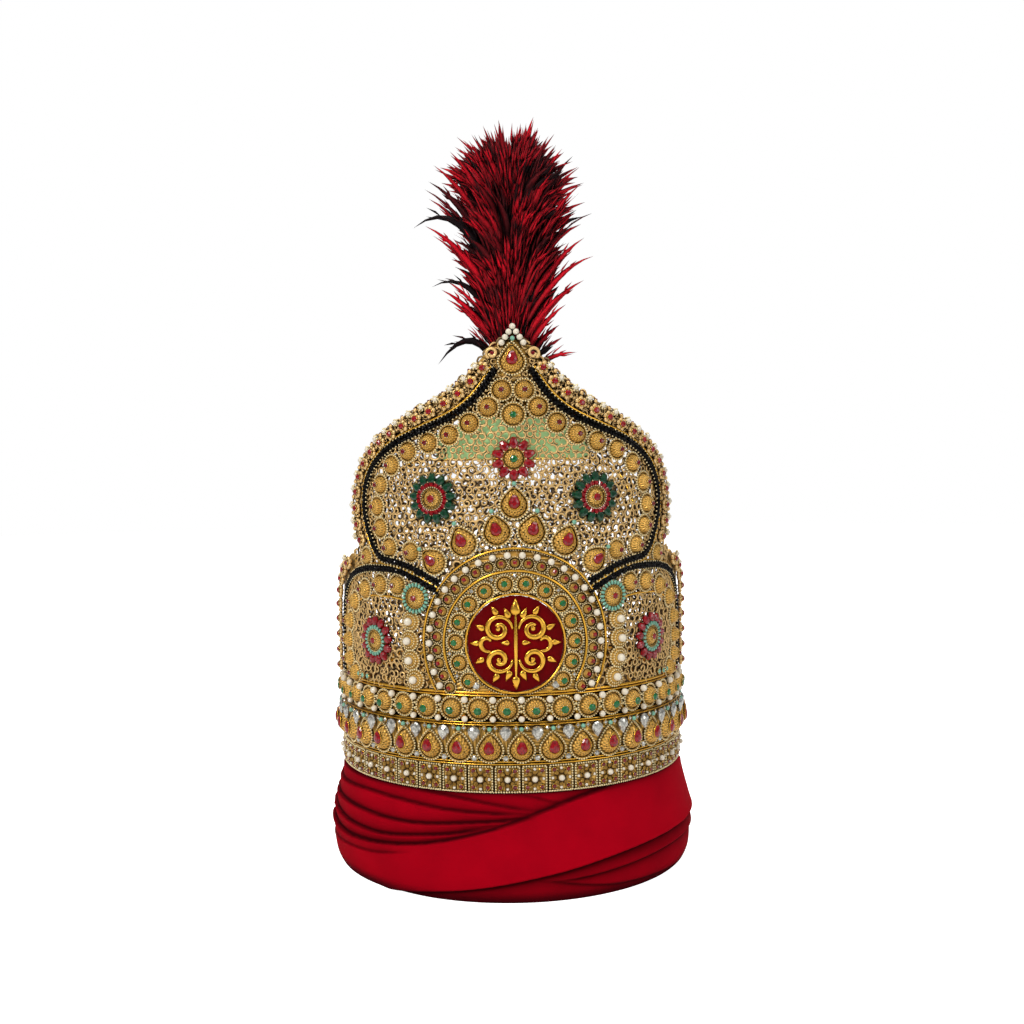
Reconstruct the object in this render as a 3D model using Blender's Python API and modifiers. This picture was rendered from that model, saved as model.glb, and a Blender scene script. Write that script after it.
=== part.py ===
"""Ceremonial crown: pierced metal walls on three jewelled bands, over a wound turban.

Metres, +Z up, the front faces -Y. The origin is on the ground under the middle of the
crown. A place on the walls is (u, z): u is the arc length to the right of the front's
centre line, z is the height, and a lift is the distance outward from the sheet.
"""

import math

import bmesh
import bpy
from mathutils import Matrix, Vector

# Driving sizes of the hollow, the cloth and the sheet metal
HEAD_RADIUS = 0.0930
TURBAN_HEIGHT = 0.0586
TURBAN_SWELL = 0.0080
LEDGE_WIDTH = 0.0065
FOLD_DEPTH = 0.0018
FOLD_WIDTH = 0.0026
SHEET_THICKNESS = 0.0015
GAP = 0.0003

# Driving sizes of the three bands
SQUARES_HEIGHT = 0.0150
SQUARES_COUNT = 44
SQUARE_RELIEF = 0.0028
SQUARE_GROOVE = 0.0016
DROPS_HEIGHT = 0.0220
DROPS_COUNT = 38
BAND_DROP_RADIUS = 0.0063
BAND_DROP_RISE = 0.0042
DISCS_HEIGHT = 0.0155
DISCS_COUNT = 42
BAND_DISC_RADIUS = 0.0059
BAND_DISC_RISE = 0.0044
BAND_RIM = 0.0008
SQUARES_PHASE = math.radians(-1.6)
DROPS_PHASE = math.radians(2.4)
DISCS_PHASE = math.radians(-2.0)

# Driving sizes of the front wall
LOBE_HALF_WIDTH = 0.1125
ARCH_CENTRE = 0.0800
ARCH_SPRING = 0.0225
ARCH_HALF_WIDTH = 0.0560
ARCH_RISE = 0.0440
ARCH_POWER = 2.4
BORDER_WIDTH = 0.0120
NOTCH_SHARE = 0.9289
NOTCH_PLACE = NOTCH_SHARE * LOBE_HALF_WIDTH
BEAD_LINE_RADIUS = 0.0015
SETTING_CLEARANCE = 0.0012
SETTING_SPACE = 0.0042
BACK_HEIGHT = 0.1275
PIERCE_PITCH = 0.0132
PIERCE_RADIUS = 0.0046
BACK_PIERCE_PITCH = 0.0330
BACK_PIERCE_RADIUS = 0.0105
BACKING_THICKNESS = 0.0010

# Driving sizes of the medallion
MEDALLION_RISE = 0.0275
MEDALLION_RADIUS = 0.0510
ENAMEL_RADIUS = 0.0262
FRAME_THICKNESS = 0.0020
ENAMEL_THICKNESS = 0.0012
ORNAMENT_THICKNESS = 0.0014
ORNAMENT_LEAVES = 8
LEAF_STEPS = 4
LEAF_CORE = 0.46
LEAF_POINT = 1.6
FRAME_DISC_RADIUS = 0.0050
FRAME_DISC_RISE = 0.0034
FRAME_DISC_COUNT = 14
PEARL_ARCH_RADIUS = 0.0017
PEARL_ARCH_INSET = 0.0030

# Driving sizes of the settings on the wall
TEAR_RADIUS = 0.0066
TEAR_RISE = 0.0048
TEAR_STRETCH = 0.42
TEAR_STEP = 0.0194
TOP_TEAR_LIFT = 0.0130
FLOWER_RADIUS = 0.0130
FLOWER_RISE = 0.0036
PETAL_DIP = 0.72
TOP_PETALS = 10
SIDE_PETALS = 13
ROSETTE_PETALS = 12
SIDE_FLOWER_RADIUS = 0.0134
ROSETTE_RADIUS = 0.0134
CENTRE_DISC_RADIUS = 0.0063
ROW_DISC_RADIUS = 0.0052
ROW_DISC_RISE = 0.0036
ROW_SPACE = 0.0038
ROW_WIRE_RADIUS = 0.00042
SIDE_ROW_DISC_RADIUS = 0.0056
SIDE_ROW_CLEARANCE = 0.0019
SIDE_ROW_SPACE = 0.0019
NOTCH_DISC_RADIUS = 0.0056
STUD_RADIUS = 0.0052
STUD_RISE = 0.0056
STUD_STANDOFF = 0.0115
STUD_STEP = 0.0108
STUD_COUNT = 4
BEAD_DISC_RADIUS = 0.0076
BEAD_DISC_RISE = 0.0040
PAIR_LIFT = 0.0125
APEX_LIFT = 0.0165
APEX_RADIUS = 0.0070
APEX_MARGIN = 0.0023
PEARL_RADIUS = 0.00165
PEARL_PITCH = 2.08 * PEARL_RADIUS
PEARL_ROWS = 3
PEARL_SLOPE = math.radians(56.0)

# Driving sizes of the plume
PLUME_HEIGHT = 0.1150
PLUME_HALF_WIDTH = 0.0360
PLUME_CORE_RADIUS = 0.0200
PLUME_DEPTH_SHARE = 0.75
PLUME_CORE_SHARE = 0.88
LOCK_START = 0.10
LOCK_BOW = 1.3
LOCK_RISE = 1.2
LOCK_THICKNESS = 0.0075
SOCKET_RADIUS = 0.0090
SOCKET_WALL = 0.0025
SOCKET_LENGTH = 0.0260

# Mesh fineness
TURBAN_STEPS = 44
STRIPS_PER_HALF_TURN = 18
SETTING_SIDES = 8
ROUND_SIDES = 12
CIRCLE_STEPS = 30
SINK = 0.0008
MERGE = 0.00001

# Sizes that follow from the driving ones
SHEET_RADIUS = HEAD_RADIUS + LEDGE_WIDTH + SHEET_THICKNESS
SHEET_INSIDE = SHEET_RADIUS - SHEET_THICKNESS
STRIP = math.pi * SHEET_RADIUS / STRIPS_PER_HALF_TURN
SQUARES_FOOT = TURBAN_HEIGHT + GAP
DROPS_FOOT = SQUARES_FOOT + SQUARES_HEIGHT + GAP
DISCS_FOOT = DROPS_FOOT + DROPS_HEIGHT + GAP
WALL_FOOT = DISCS_FOOT + DISCS_HEIGHT + GAP
MEDALLION_HEIGHT = WALL_FOOT + MEDALLION_RISE
ARCH_HEIGHT = WALL_FOOT + ARCH_SPRING
TEAR_HALF_LENGTH = TEAR_RADIUS * (1.0 + TEAR_STRETCH / 2.0)
SETTING_ARC = MEDALLION_RADIUS + SETTING_CLEARANCE + TEAR_HALF_LENGTH + 0.5 * BEAD_LINE_RADIUS
STUD_ARC = MEDALLION_RADIUS + STUD_STANDOFF
TOP_TEAR_HEIGHT = MEDALLION_HEIGHT + SETTING_ARC + TOP_TEAR_LIFT
FLOWER_HEIGHT = TOP_TEAR_HEIGHT + TEAR_HALF_LENGTH + SETTING_SPACE + FLOWER_RADIUS
CENTRE_DISC_HEIGHT = FLOWER_HEIGHT + FLOWER_RADIUS + SETTING_SPACE + CENTRE_DISC_RADIUS
PAIR_HEIGHT = CENTRE_DISC_HEIGHT + PAIR_LIFT
APEX_HEIGHT = PAIR_HEIGHT + APEX_LIFT
APEX_HALF_LENGTH = APEX_RADIUS * (1.0 + TEAR_STRETCH / 2.0)
WALL_TOP = APEX_HEIGHT + APEX_HALF_LENGTH + APEX_MARGIN
WALL_HEIGHT = WALL_TOP - WALL_FOOT
FRONT_EDGE = ARCH_CENTRE + ARCH_HALF_WIDTH + BORDER_WIDTH
BACK_EDGE = math.pi * SHEET_RADIUS - FRONT_EDGE - GAP
BEAD_LINE_LIFT = GAP + BEAD_LINE_RADIUS
ROW_OFFSET = BEAD_LINE_RADIUS + ROW_DISC_RADIUS + SETTING_CLEARANCE
SIDE_ROW_OFFSET = BEAD_LINE_RADIUS + SIDE_ROW_DISC_RADIUS + SIDE_ROW_CLEARANCE
PLUME_CENTRE = SHEET_INSIDE - GAP - SOCKET_RADIUS

# Turban profile from the foot up: share of the height, share of the swell past the sheet
TURBAN_PROFILE = (
    (0.00, -0.44), (0.06, 0.08), (0.16, 0.62), (0.26, 0.92), (0.36, 1.00), (0.46, 0.98),
    (0.57, 0.90), (0.68, 0.74), (0.79, 0.54), (0.90, 0.33), (1.00, 0.19))

# Turban folds: share of the height at the left side, where the folds cross in front,
# at the right side and at the back, and share of the fold depth
TURBAN_FOLDS = (
    # left, crossing, right, back, depth
    (0.97, 0.90, 0.92, 0.95, 0.8),
    (0.84, 0.83, 0.84, 0.82, 0.9),
    (0.69, 0.77, 0.72, 0.67, 1.0),
    (0.58, 0.72, 0.58, 0.55, 1.0),
    (0.14, 0.22, 0.48, 0.18, 0.8))
FOLD_CROSSING = math.radians(4.0)

# Large lobe's outer edge from the notch to the point: share of the lobe's half width,
# share of the wall's height
LOBE_EDGE = (
    (0.958, 0.430), (0.987, 0.474), (1.000, 0.534), (0.969, 0.595), (0.907, 0.653),
    (0.827, 0.701), (0.711, 0.745), (0.604, 0.781), (0.480, 0.815), (0.369, 0.842),
    (0.283, 0.874), (0.210, 0.911), (0.166, 0.939), (0.107, 0.976), (0.045, 1.000))

# Large lobe's bead line after its start at the medallion, in the same shares
LOBE_LINE = (
    (0.471, 0.345), (0.551, 0.363), (0.627, 0.373), (0.724, 0.378), (0.773, 0.406),
    (0.818, 0.453), (0.851, 0.495), (0.862, 0.539), (0.853, 0.582), (0.820, 0.624),
    (0.759, 0.662), (0.689, 0.692), (0.600, 0.720), (0.498, 0.742), (0.379, 0.767),
    (0.280, 0.792), (0.200, 0.825), (0.142, 0.863), (0.096, 0.905))
LOBE_LINE_START = math.radians(37.8)
LINE_SPACING = 0.0046
SHARED_LINE_POINTS = 4

# Back wall's edge from the seam to the middle: share of its half width and height
BACK_WALL_EDGE = (
    (1.00, 0.00), (1.00, 0.20), (0.96, 0.29), (0.87, 0.355), (0.78, 0.375), (0.70, 0.365),
    (0.66, 0.395), (0.65, 0.47), (0.64, 0.60), (0.60, 0.76), (0.54, 0.89), (0.46, 0.965),
    (0.36, 1.00))

# Right half of the cloth behind the upper openwork, in the large lobe's shares
BACKING_EDGE = ((0.39, 0.668), (0.39, 0.738), (0.195, 0.785))

# Side flowers: share of the lobe's half width and of the wall's height
SIDE_FLOWER_PLACE = (0.4116, 0.556)
# Rosettes: share of the arch's half width from its centre, share of its rise over its spring
ROSETTE_PLACE = (0.17, 0.07)

# Settings from the middle out: share of the radius, share of the rise
DISC_PROFILE = ((0.00, 1.00), (0.36, 0.88), (1.00, 0.34), (1.00, 0.00), (0.00, 0.00))
PLAIN_DISC_PROFILE = ((0.00, 1.00), (1.00, 0.32), (1.00, 0.00), (0.00, 0.00))
TEAR_PROFILE = (
    (0.00, 1.00), (0.22, 1.00), (0.42, 0.82), (0.50, 0.60), (1.00, 0.32), (1.00, 0.00),
    (0.00, 0.00))
FLOWER_PROFILE = ((0.00, 1.00), (0.46, 0.66), (1.00, 0.30), (1.00, 0.00), (0.00, 0.00))

# Plume core: share of the plume's height, share of the core's radius
PLUME_CORE = ((1.00, 0.00), (0.84, 0.55), (0.60, 1.00), (0.32, 0.92), (0.10, 0.55), (0.02, 0.31))

# Plume locks: turn round the stem in degrees, share of the height where the lock's root
# leaves the core and where its tip ends, share of the plume's half width at the tip
PLUME_LOCKS = (
    # turn, root, tip, reach
    (270, 0.30, 1.00, 0.30), (330, 0.28, 0.99, 0.42), (215, 0.26, 0.96, 0.55),
    (20, 0.24, 0.93, 0.70), (75, 0.24, 0.95, 0.62), (125, 0.24, 0.92, 0.66),
    (178, 0.20, 0.84, 0.98), (0, 0.14, 0.72, 0.98), (235, 0.12, 0.66, 0.62),
    (305, 0.12, 0.70, 0.62), (60, 0.12, 0.66, 0.85), (115, 0.10, 0.62, 0.88),
    (185, 0.06, 0.54, 1.00), (352, 0.04, 0.46, 0.96), (270, 0.04, 0.42, 0.42),
    (90, 0.04, 0.44, 0.72))
LOCK_TAPER = (0.70, 1.00, 0.90, 0.55, 0.10)

# Colours: red, green, blue, metallic, roughness
GOLD = (0.62, 0.36, 0.08, 1.0, 0.35)
PALE_GOLD = (0.60, 0.44, 0.20, 1.0, 0.42)
CRIMSON_CLOTH = (0.43, 0.004, 0.013, 0.0, 0.85)
RED_STONE = (0.45, 0.005, 0.02, 0.0, 0.12)
GREEN_STONE = (0.006, 0.10, 0.035, 0.0, 0.12)
ENAMEL = (0.09, 0.001, 0.002, 0.0, 0.25)
BLACK_BEAD = (0.006, 0.006, 0.006, 0.0, 0.18)
PEARL = (0.86, 0.80, 0.68, 0.0, 0.25)
GREEN_CLOTH = (0.05, 0.22, 0.08, 0.0, 0.85)


# Mesh helpers

def clear_scene():
    """Remove every object that the scene holds."""
    for item in list(bpy.data.objects):
        bpy.data.objects.remove(item, do_unlink=True)


def guide_object(data):
    """Link mesh or curve data to the scene for a moment, to read its evaluated shape."""
    guide = bpy.data.objects.new("guide", data)
    bpy.context.scene.collection.objects.link(guide)
    return guide


def take_mesh(guide):
    """Return the welded, evaluated mesh of a guide object and remove the guide."""
    graph = bpy.context.evaluated_depsgraph_get()
    mesh = bpy.data.meshes.new_from_object(guide.evaluated_get(graph))
    mesh.transform(guide.matrix_world)
    shape = bmesh.new()
    shape.from_mesh(mesh)
    bmesh.ops.remove_doubles(shape, verts=shape.verts, dist=MERGE)
    shape.to_mesh(mesh)
    shape.free()
    bpy.data.objects.remove(guide, do_unlink=True)
    return mesh


def turned_mesh(profile, sides, closed=False):
    """Turn a profile of (radius, height) about Z. It runs down its outer side."""
    mesh = bpy.data.meshes.new("profile")
    links = [(index, index + 1) for index in range(len(profile) - 1)]
    if closed:
        links.append((len(profile) - 1, 0))
    mesh.from_pydata([(radius, 0.0, height) for radius, height in profile], links, [])
    guide = guide_object(mesh)
    turn = guide.modifiers.new("turn", 'SCREW')
    turn.steps = sides
    turn.render_steps = sides
    turn.use_merge_vertices = True
    turn.merge_threshold = MERGE
    return take_mesh(guide)


def reshape(mesh, change):
    """Return a copy of the mesh with each point moved by a function of its place."""
    moved = mesh.copy()
    for point in moved.vertices:
        point.co = change(point.co)
    return moved


def joined_mesh(mesh, places):
    """Copy one mesh to each of the places and join the copies."""
    shape = bmesh.new()
    for place in places:
        copy = mesh.copy()
        copy.transform(place)
        shape.from_mesh(copy)
        bpy.data.meshes.remove(copy)
    joined = bpy.data.meshes.new("joined")
    shape.to_mesh(joined)
    shape.free()
    return joined


def fused_mesh(base, *additions):
    """Union the base mesh with each addition in turn."""
    for addition in additions:
        other = guide_object(addition)
        guide = guide_object(base)
        union = guide.modifiers.new("fuse", 'BOOLEAN')
        union.operation = 'UNION'
        union.solver = 'EXACT'
        union.object = other
        base = take_mesh(guide)
        bpy.data.objects.remove(other, do_unlink=True)
    return base


def flat_mesh(outline, thickness, holes=()):
    """Fill a closed outline of (u, z) less its holes and give it a thickness about zero."""
    curve = bpy.data.curves.new("outline", 'CURVE')
    curve.dimensions = '2D'
    curve.fill_mode = 'BOTH'
    curve.extrude = thickness / 2.0
    for loop in (outline, *holes):
        spline = curve.splines.new('POLY')
        spline.points.add(len(loop) - 1)
        for point, (across, up) in zip(spline.points, loop):
            point.co = (across, up, 0.0, 1.0)
        spline.use_cyclic_u = True
    return take_mesh(guide_object(curve))


def tube_mesh(points, radius, roundness=0, tapers=None):
    """Run a round section along a line of points: 4 sides, and 2 more for each roundness."""
    curve = bpy.data.curves.new("tube", 'CURVE')
    curve.dimensions = '3D'
    curve.bevel_depth = radius
    curve.bevel_resolution = roundness
    curve.use_fill_caps = True
    spline = curve.splines.new('POLY')
    spline.points.add(len(points) - 1)
    for index, place in enumerate(points):
        spline.points[index].co = (*place, 1.0)
        if tapers:
            spline.points[index].radius = tapers[index]
    return take_mesh(guide_object(curve))


def wall_side(arc, lift, facing=0.0):
    """Point of the round wall at an arc length and a lift, without its height."""
    angle = facing + arc / SHEET_RADIUS
    reach = SHEET_RADIUS + lift
    return Vector((reach * math.sin(angle), -reach * math.cos(angle), 0.0))


def bent_mesh(mesh, lift, facing=0.0):
    """Wrap a flat plate round the wall in upright strips, with its middle at a lift."""
    shape = bmesh.new()
    shape.from_mesh(mesh)
    arcs = [point.co.x for point in shape.verts]
    for fold in range(math.ceil(min(arcs) / STRIP), math.floor(max(arcs) / STRIP) + 1):
        whole = shape.verts[:] + shape.edges[:] + shape.faces[:]
        bmesh.ops.bisect_plane(shape, geom=whole, dist=5.0 * MERGE,
                               plane_co=(fold * STRIP, 0.0, 0.0), plane_no=(1.0, 0.0, 0.0))
    for point in shape.verts:
        arc, height, depth = point.co
        strip = math.floor(arc / STRIP + 0.01)
        share = arc / STRIP - strip
        near = wall_side(strip * STRIP, lift + depth, facing)
        far = wall_side((strip + 1) * STRIP, lift + depth, facing)
        point.co = near.lerp(far, share) + Vector((0.0, 0.0, height))
    shape.normal_update()
    bmesh.ops.dissolve_limit(shape, angle_limit=math.radians(0.2), verts=shape.verts[:],
                             edges=shape.edges[:])
    bent = bpy.data.meshes.new("bent")
    shape.to_mesh(bent)
    shape.free()
    return bent


def seat(arc, height, turn=0.0, lift=GAP):
    """Matrix that stands a piece on the wall: its Z points outward, its Y up."""
    angle = arc / SHEET_RADIUS
    across = Vector((math.cos(angle), math.sin(angle), 0.0))
    outward = Vector((math.sin(angle), -math.cos(angle), 0.0))
    up = Vector((0.0, 0.0, 1.0))
    basis = Matrix((across, up, outward)).transposed().to_4x4()
    place = outward * (SHEET_RADIUS + lift) + up * height
    return Matrix.Translation(place) @ basis @ Matrix.Rotation(turn, 4, 'Z')


def material(name, finish):
    """Principled material from a row of colour, metallic and roughness."""
    surface = bpy.data.materials.new(name)
    surface.use_nodes = True
    shader = surface.node_tree.nodes["Principled BSDF"]
    shader.inputs["Base Color"].default_value = (*finish[:3], 1.0)
    shader.inputs["Metallic"].default_value = finish[3]
    shader.inputs["Roughness"].default_value = finish[4]
    surface.diffuse_color = (*finish[:3], 1.0)
    return surface


def add_piece(name, mesh, finish, collection):
    """Put a mesh into the crown as a named piece of its own."""
    mesh.name = name
    piece = bpy.data.objects.new(name, mesh)
    collection.objects.link(piece)
    mesh.materials.clear()
    mesh.materials.append(material(name, finish))
    mesh.shade_smooth()
    mesh.set_sharp_from_angle(angle=math.radians(35.0))
    return piece


# Lines on the wall

def mirrored(points):
    """Close a half outline that runs from the right foot to the top by its mirror image."""
    return list(points) + [(-arc, height) for arc, height in reversed(points)]


def arch_point(offset, turn):
    """Point of the side lobe's arch: a rounded ellipse, grown by an offset, at a turn."""
    across = max(0.0, math.cos(turn)) ** (2.0 / ARCH_POWER)
    if math.cos(turn) < 0.0:
        across = -abs(math.cos(turn)) ** (2.0 / ARCH_POWER)
    up = abs(math.sin(turn)) ** (2.0 / ARCH_POWER)
    return (ARCH_CENTRE + (ARCH_HALF_WIDTH + offset) * across,
            ARCH_HEIGHT + (ARCH_RISE + offset) * up)


def arch_line(offset, last_turn, count):
    """The arch from its foot at the outer side to a turn in degrees."""
    turns = [math.radians(last_turn * index / (count - 1)) for index in range(count)]
    return [arch_point(offset, turn) for turn in turns]


def lobe_points(table):
    """Places of a table in shares of the lobe's half width and the wall's height."""
    return [(LOBE_HALF_WIDTH * across, WALL_FOOT + WALL_HEIGHT * up) for across, up in table]


def medallion_point(radius, angle):
    """Place at a radius and an angle round the medallion's centre."""
    return (radius * math.cos(angle), MEDALLION_HEIGHT + radius * math.sin(angle))


def lobe_line():
    """The large lobe's bead line on the right, from the medallion to the point."""
    start = medallion_point(MEDALLION_RADIUS + SETTING_CLEARANCE + BEAD_LINE_RADIUS, LOBE_LINE_START)
    return [start] + lobe_points(LOBE_LINE)


def side_line():
    """The side lobe's bead line: beside the large lobe's line, then down the arch."""
    reach = MEDALLION_RADIUS + SETTING_CLEARANCE + BEAD_LINE_RADIUS
    line = [medallion_point(reach, LOBE_LINE_START - LINE_SPACING / reach)]
    shared = lobe_line()[:SHARED_LINE_POINTS + 1]
    for before, here, after in zip(shared, shared[1:], shared[2:]):
        along = Vector(after) - Vector(before)
        aside = Vector((along.y, -along.x)).normalized() * LINE_SPACING
        line.append((here[0] + aside.x, here[1] + aside.y))
    arch = [place for place in reversed(arch_line(0.0, 90.0, 10)) if place[0] > line[-1][0] + STRIP / 2.0]
    foot = (ARCH_CENTRE + ARCH_HALF_WIDTH, WALL_FOOT + BEAD_LINE_RADIUS)
    return line + arch + [foot]


def spaced_along(points, pitch):
    """Places spaced evenly along a line, about a pitch apart."""
    vectors = [Vector(point) for point in points]
    steps = [(here - before).length for before, here in zip(vectors, vectors[1:])]
    span = sum(steps)
    count = max(2, round(span / pitch) + 1)
    places = []
    for index in range(count):
        rest = span * index / (count - 1)
        leg = 0
        while leg < len(steps) - 1 and rest > steps[leg]:
            rest -= steps[leg]
            leg += 1
        places.append(vectors[leg].lerp(vectors[leg + 1], rest / steps[leg]))
    return places


def offset_line(points, distance):
    """A line beside another one, to the right of the way that it runs."""
    vectors = [Vector(point) for point in points]
    result = []
    for index, here in enumerate(vectors):
        along = vectors[min(index + 1, len(vectors) - 1)] - vectors[max(index - 1, 0)]
        aside = Vector((along.y, -along.x)).normalized()
        result.append(here + aside * distance)
    return result


def front_outline():
    """Outline of the front wall: foot, side arches, notches, large lobe and point."""
    arch = [place for place in arch_line(BORDER_WIDTH, 90.0, 9) if place[0] > NOTCH_PLACE]
    half = [(FRONT_EDGE, WALL_FOOT)] + arch + lobe_points(LOBE_EDGE)
    return mirrored(half)


def back_outline():
    """Outline of the back wall in its own arc lengths."""
    return mirrored([(BACK_EDGE * across, WALL_FOOT + BACK_HEIGHT * up)
                     for across, up in BACK_WALL_EDGE])


# Piercing of the walls

def inside(place, outline):
    """Whether a place lies inside a closed outline."""
    found = False
    for (first_u, first_z), (last_u, last_z) in zip(outline, outline[1:] + outline[:1]):
        if (first_z > place[1]) != (last_z > place[1]):
            crossing = first_u + (place[1] - first_z) * (last_u - first_u) / (last_z - first_z)
            if place[0] < crossing:
                found = not found
    return found


def edge_distance(place, outline):
    """Distance from a place to the nearest edge of a closed outline."""
    here = Vector(place)
    nearest = None
    for first, last in zip(outline, outline[1:] + outline[:1]):
        start = Vector(first)
        run = Vector(last) - start
        share = min(1.0, max(0.0, (here - start).dot(run) / max(run.length_squared, MERGE ** 2)))
        distance = (here - start - run * share).length
        nearest = distance if nearest is None else min(nearest, distance)
    return nearest


def pierced_gaps(field, covered, margin, pitch, radius):
    """Six-cornered gaps on a staggered pattern, clear of the field's edge and of settings.

    covered holds rows of across, height and radius, where nothing is pierced.
    """
    heights = [height for across, height in field]
    widest = max(across for across, height in field)
    gaps = []
    row_rise = pitch * math.sin(math.radians(60.0))
    corners = [math.radians(60 * corner + 30) for corner in range(6)]
    for row in range(math.ceil((max(heights) - min(heights)) / row_rise)):
        height = min(heights) + row * row_rise
        steps = math.ceil(widest / pitch)
        for step in range(-steps, steps + 1):
            across = (step + 0.5 * (row % 2)) * pitch
            place = (across, height)
            hidden = any(math.dist(place, setting[:2]) < setting[2] for setting in covered)
            if hidden or not inside(place, field):
                continue
            if edge_distance(place, field) > margin:
                gaps.append([(across + radius * math.cos(corner), height + radius * math.sin(corner))
                             for corner in corners])
    return gaps


# Small turned settings

def setting_mesh(profile, radius, rise, sides=SETTING_SIDES):
    """Turn a profile table into a setting of a radius and a rise, its foot at zero."""
    return turned_mesh([(radius * wide, rise * up) for wide, up in profile], sides)


def tear_shape(point):
    """Draw a round setting out to a tip in its +Y direction."""
    across, up, height = point
    reach = math.hypot(across, up)
    if reach == 0.0 or up <= 0.0:
        return Vector((across, up, height))
    stretch = 1.0 + TEAR_STRETCH * (up / reach) ** 4
    return Vector((across * stretch, up * stretch, height))


def tear_mesh(profile, radius, rise):
    """Drop-shaped setting, with its round end at the foot."""
    return reshape(setting_mesh(profile, radius, rise), tear_shape)


def flower_mesh(petals, radius):
    """Petal flower of cut stones round a raised centre: its rim dips between the petals."""
    sides = 2 * petals

    def petal_shape(point):
        reach = math.hypot(point.x, point.y)
        step = round(math.atan2(point.y, point.x) / (2.0 * math.pi / sides))
        if step % 2 and reach > PETAL_DIP * radius:
            return Vector((PETAL_DIP * point.x, PETAL_DIP * point.y, point.z))
        return Vector(point)

    return reshape(setting_mesh(FLOWER_PROFILE, radius, FLOWER_RISE, sides), petal_shape)


# Cloth and plume

def fold_height(fold, angle):
    """Height share of a fold at an angle from the front: eased between its four places."""
    left, crossing, right, back = fold[:4]
    stops = ((-math.pi, back), (-math.pi / 2.0, left), (FOLD_CROSSING, crossing),
             (math.pi / 2.0, right), (math.pi, back))
    for (first, low), (last, high) in zip(stops, stops[1:]):
        if angle <= last:
            share = (angle - first) / (last - first)
            ease = share * share * (3.0 - 2.0 * share)
            return low + (high - low) * ease
    return back


def turban_mesh():
    """Wound cloth ring: a turned section whose outer side is pressed in along the folds."""
    outer = [(SHEET_RADIUS + TURBAN_SWELL * swell, TURBAN_HEIGHT * up)
             for up, swell in reversed(TURBAN_PROFILE)]
    inner = [(HEAD_RADIUS, 0.0), (HEAD_RADIUS, TURBAN_HEIGHT)]
    ring = turned_mesh(outer + inner, TURBAN_STEPS, closed=True)

    def press_folds(point):
        reach = math.hypot(point.x, point.y)
        on_skin = reach > SHEET_INSIDE and MERGE < point.z < TURBAN_HEIGHT - MERGE
        if not on_skin:
            return Vector(point)
        angle = math.atan2(point.x, -point.y)
        pressed = 0.0
        for fold in TURBAN_FOLDS:
            away = (point.z - TURBAN_HEIGHT * fold_height(fold, angle)) / FOLD_WIDTH
            pressed += FOLD_DEPTH * fold[4] * math.exp(-away * away)
        shrink = (reach - min(pressed, FOLD_DEPTH)) / reach
        return Vector((point.x * shrink, point.y * shrink, point.z))

    return reshape(ring, press_folds)


def plume_mesh():
    """Feather plume: tapered, bowed locks fused to a core that stands in the socket."""
    foot = WALL_TOP - SOCKET_WALL
    centre = Vector((0.0, -PLUME_CENTRE, 0.0))
    stem = SOCKET_RADIUS - SOCKET_WALL - GAP
    core = [(PLUME_CORE_RADIUS * wide, foot + PLUME_HEIGHT * PLUME_CORE_SHARE * up)
            for up, wide in PLUME_CORE]
    bottom = foot - SOCKET_LENGTH + SOCKET_WALL + 2.0 * GAP
    core += [(stem, foot + GAP), (stem, bottom), (0.0, bottom)]
    flattened = Matrix.Diagonal((1.0, PLUME_DEPTH_SHARE, 1.0, 1.0))
    mesh = turned_mesh(core, ROUND_SIDES)
    mesh.transform(Matrix.Translation(centre) @ flattened)
    locks = []
    for turn, root, tip, reach in PLUME_LOCKS:
        angle = math.radians(turn)
        way = Vector((math.cos(angle), PLUME_DEPTH_SHARE * math.sin(angle), 0.0))
        points = []
        for index in range(len(LOCK_TAPER)):
            share = index / (len(LOCK_TAPER) - 1)
            bow = LOCK_START + (reach - LOCK_START) * share ** LOCK_BOW
            climb = LOCK_RISE * share - (LOCK_RISE - 1.0) * share ** 3
            rise = root + (tip - root) * climb
            points.append(centre + way * (PLUME_HALF_WIDTH * bow)
                          + Vector((0.0, 0.0, foot + PLUME_HEIGHT * rise)))
        locks.append(tube_mesh(points, LOCK_THICKNESS, tapers=LOCK_TAPER))
    return fused_mesh(mesh, *locks)


def socket_mesh():
    """Plain sleeve with a floor behind the point of the wall, which holds the plume's stem."""
    top = WALL_TOP - SOCKET_WALL - GAP
    bottom = top - SOCKET_LENGTH
    bore = SOCKET_RADIUS - SOCKET_WALL
    profile = [(0.0, bottom + SOCKET_WALL), (bore, bottom + SOCKET_WALL), (bore, top),
               (SOCKET_RADIUS, top), (SOCKET_RADIUS, bottom), (0.0, bottom)]
    mesh = turned_mesh(profile, ROUND_SIDES)
    mesh.transform(Matrix.Translation((0.0, -PLUME_CENTRE, 0.0)))
    return mesh


# Bands

def band_ring(foot, height, count, first):
    """Plain many-sided ring with one side for each setting, the first at an angle."""
    outside = SHEET_RADIUS + BAND_RIM
    profile = [(outside, foot + height), (outside, foot), (SHEET_INSIDE, foot),
               (SHEET_INSIDE, foot + height)]
    ring = turned_mesh(profile, count, closed=True)
    ring.transform(Matrix.Rotation(first - math.pi / 2.0 - math.pi / count, 4, 'Z'))
    return ring


def band_places(height, count, first):
    """Seats round the whole band, on the middle of each side of the ring."""
    return [seat(SHEET_RADIUS * (first + 2.0 * math.pi * index / count), height, lift=0.0)
            for index in range(count)]


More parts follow.
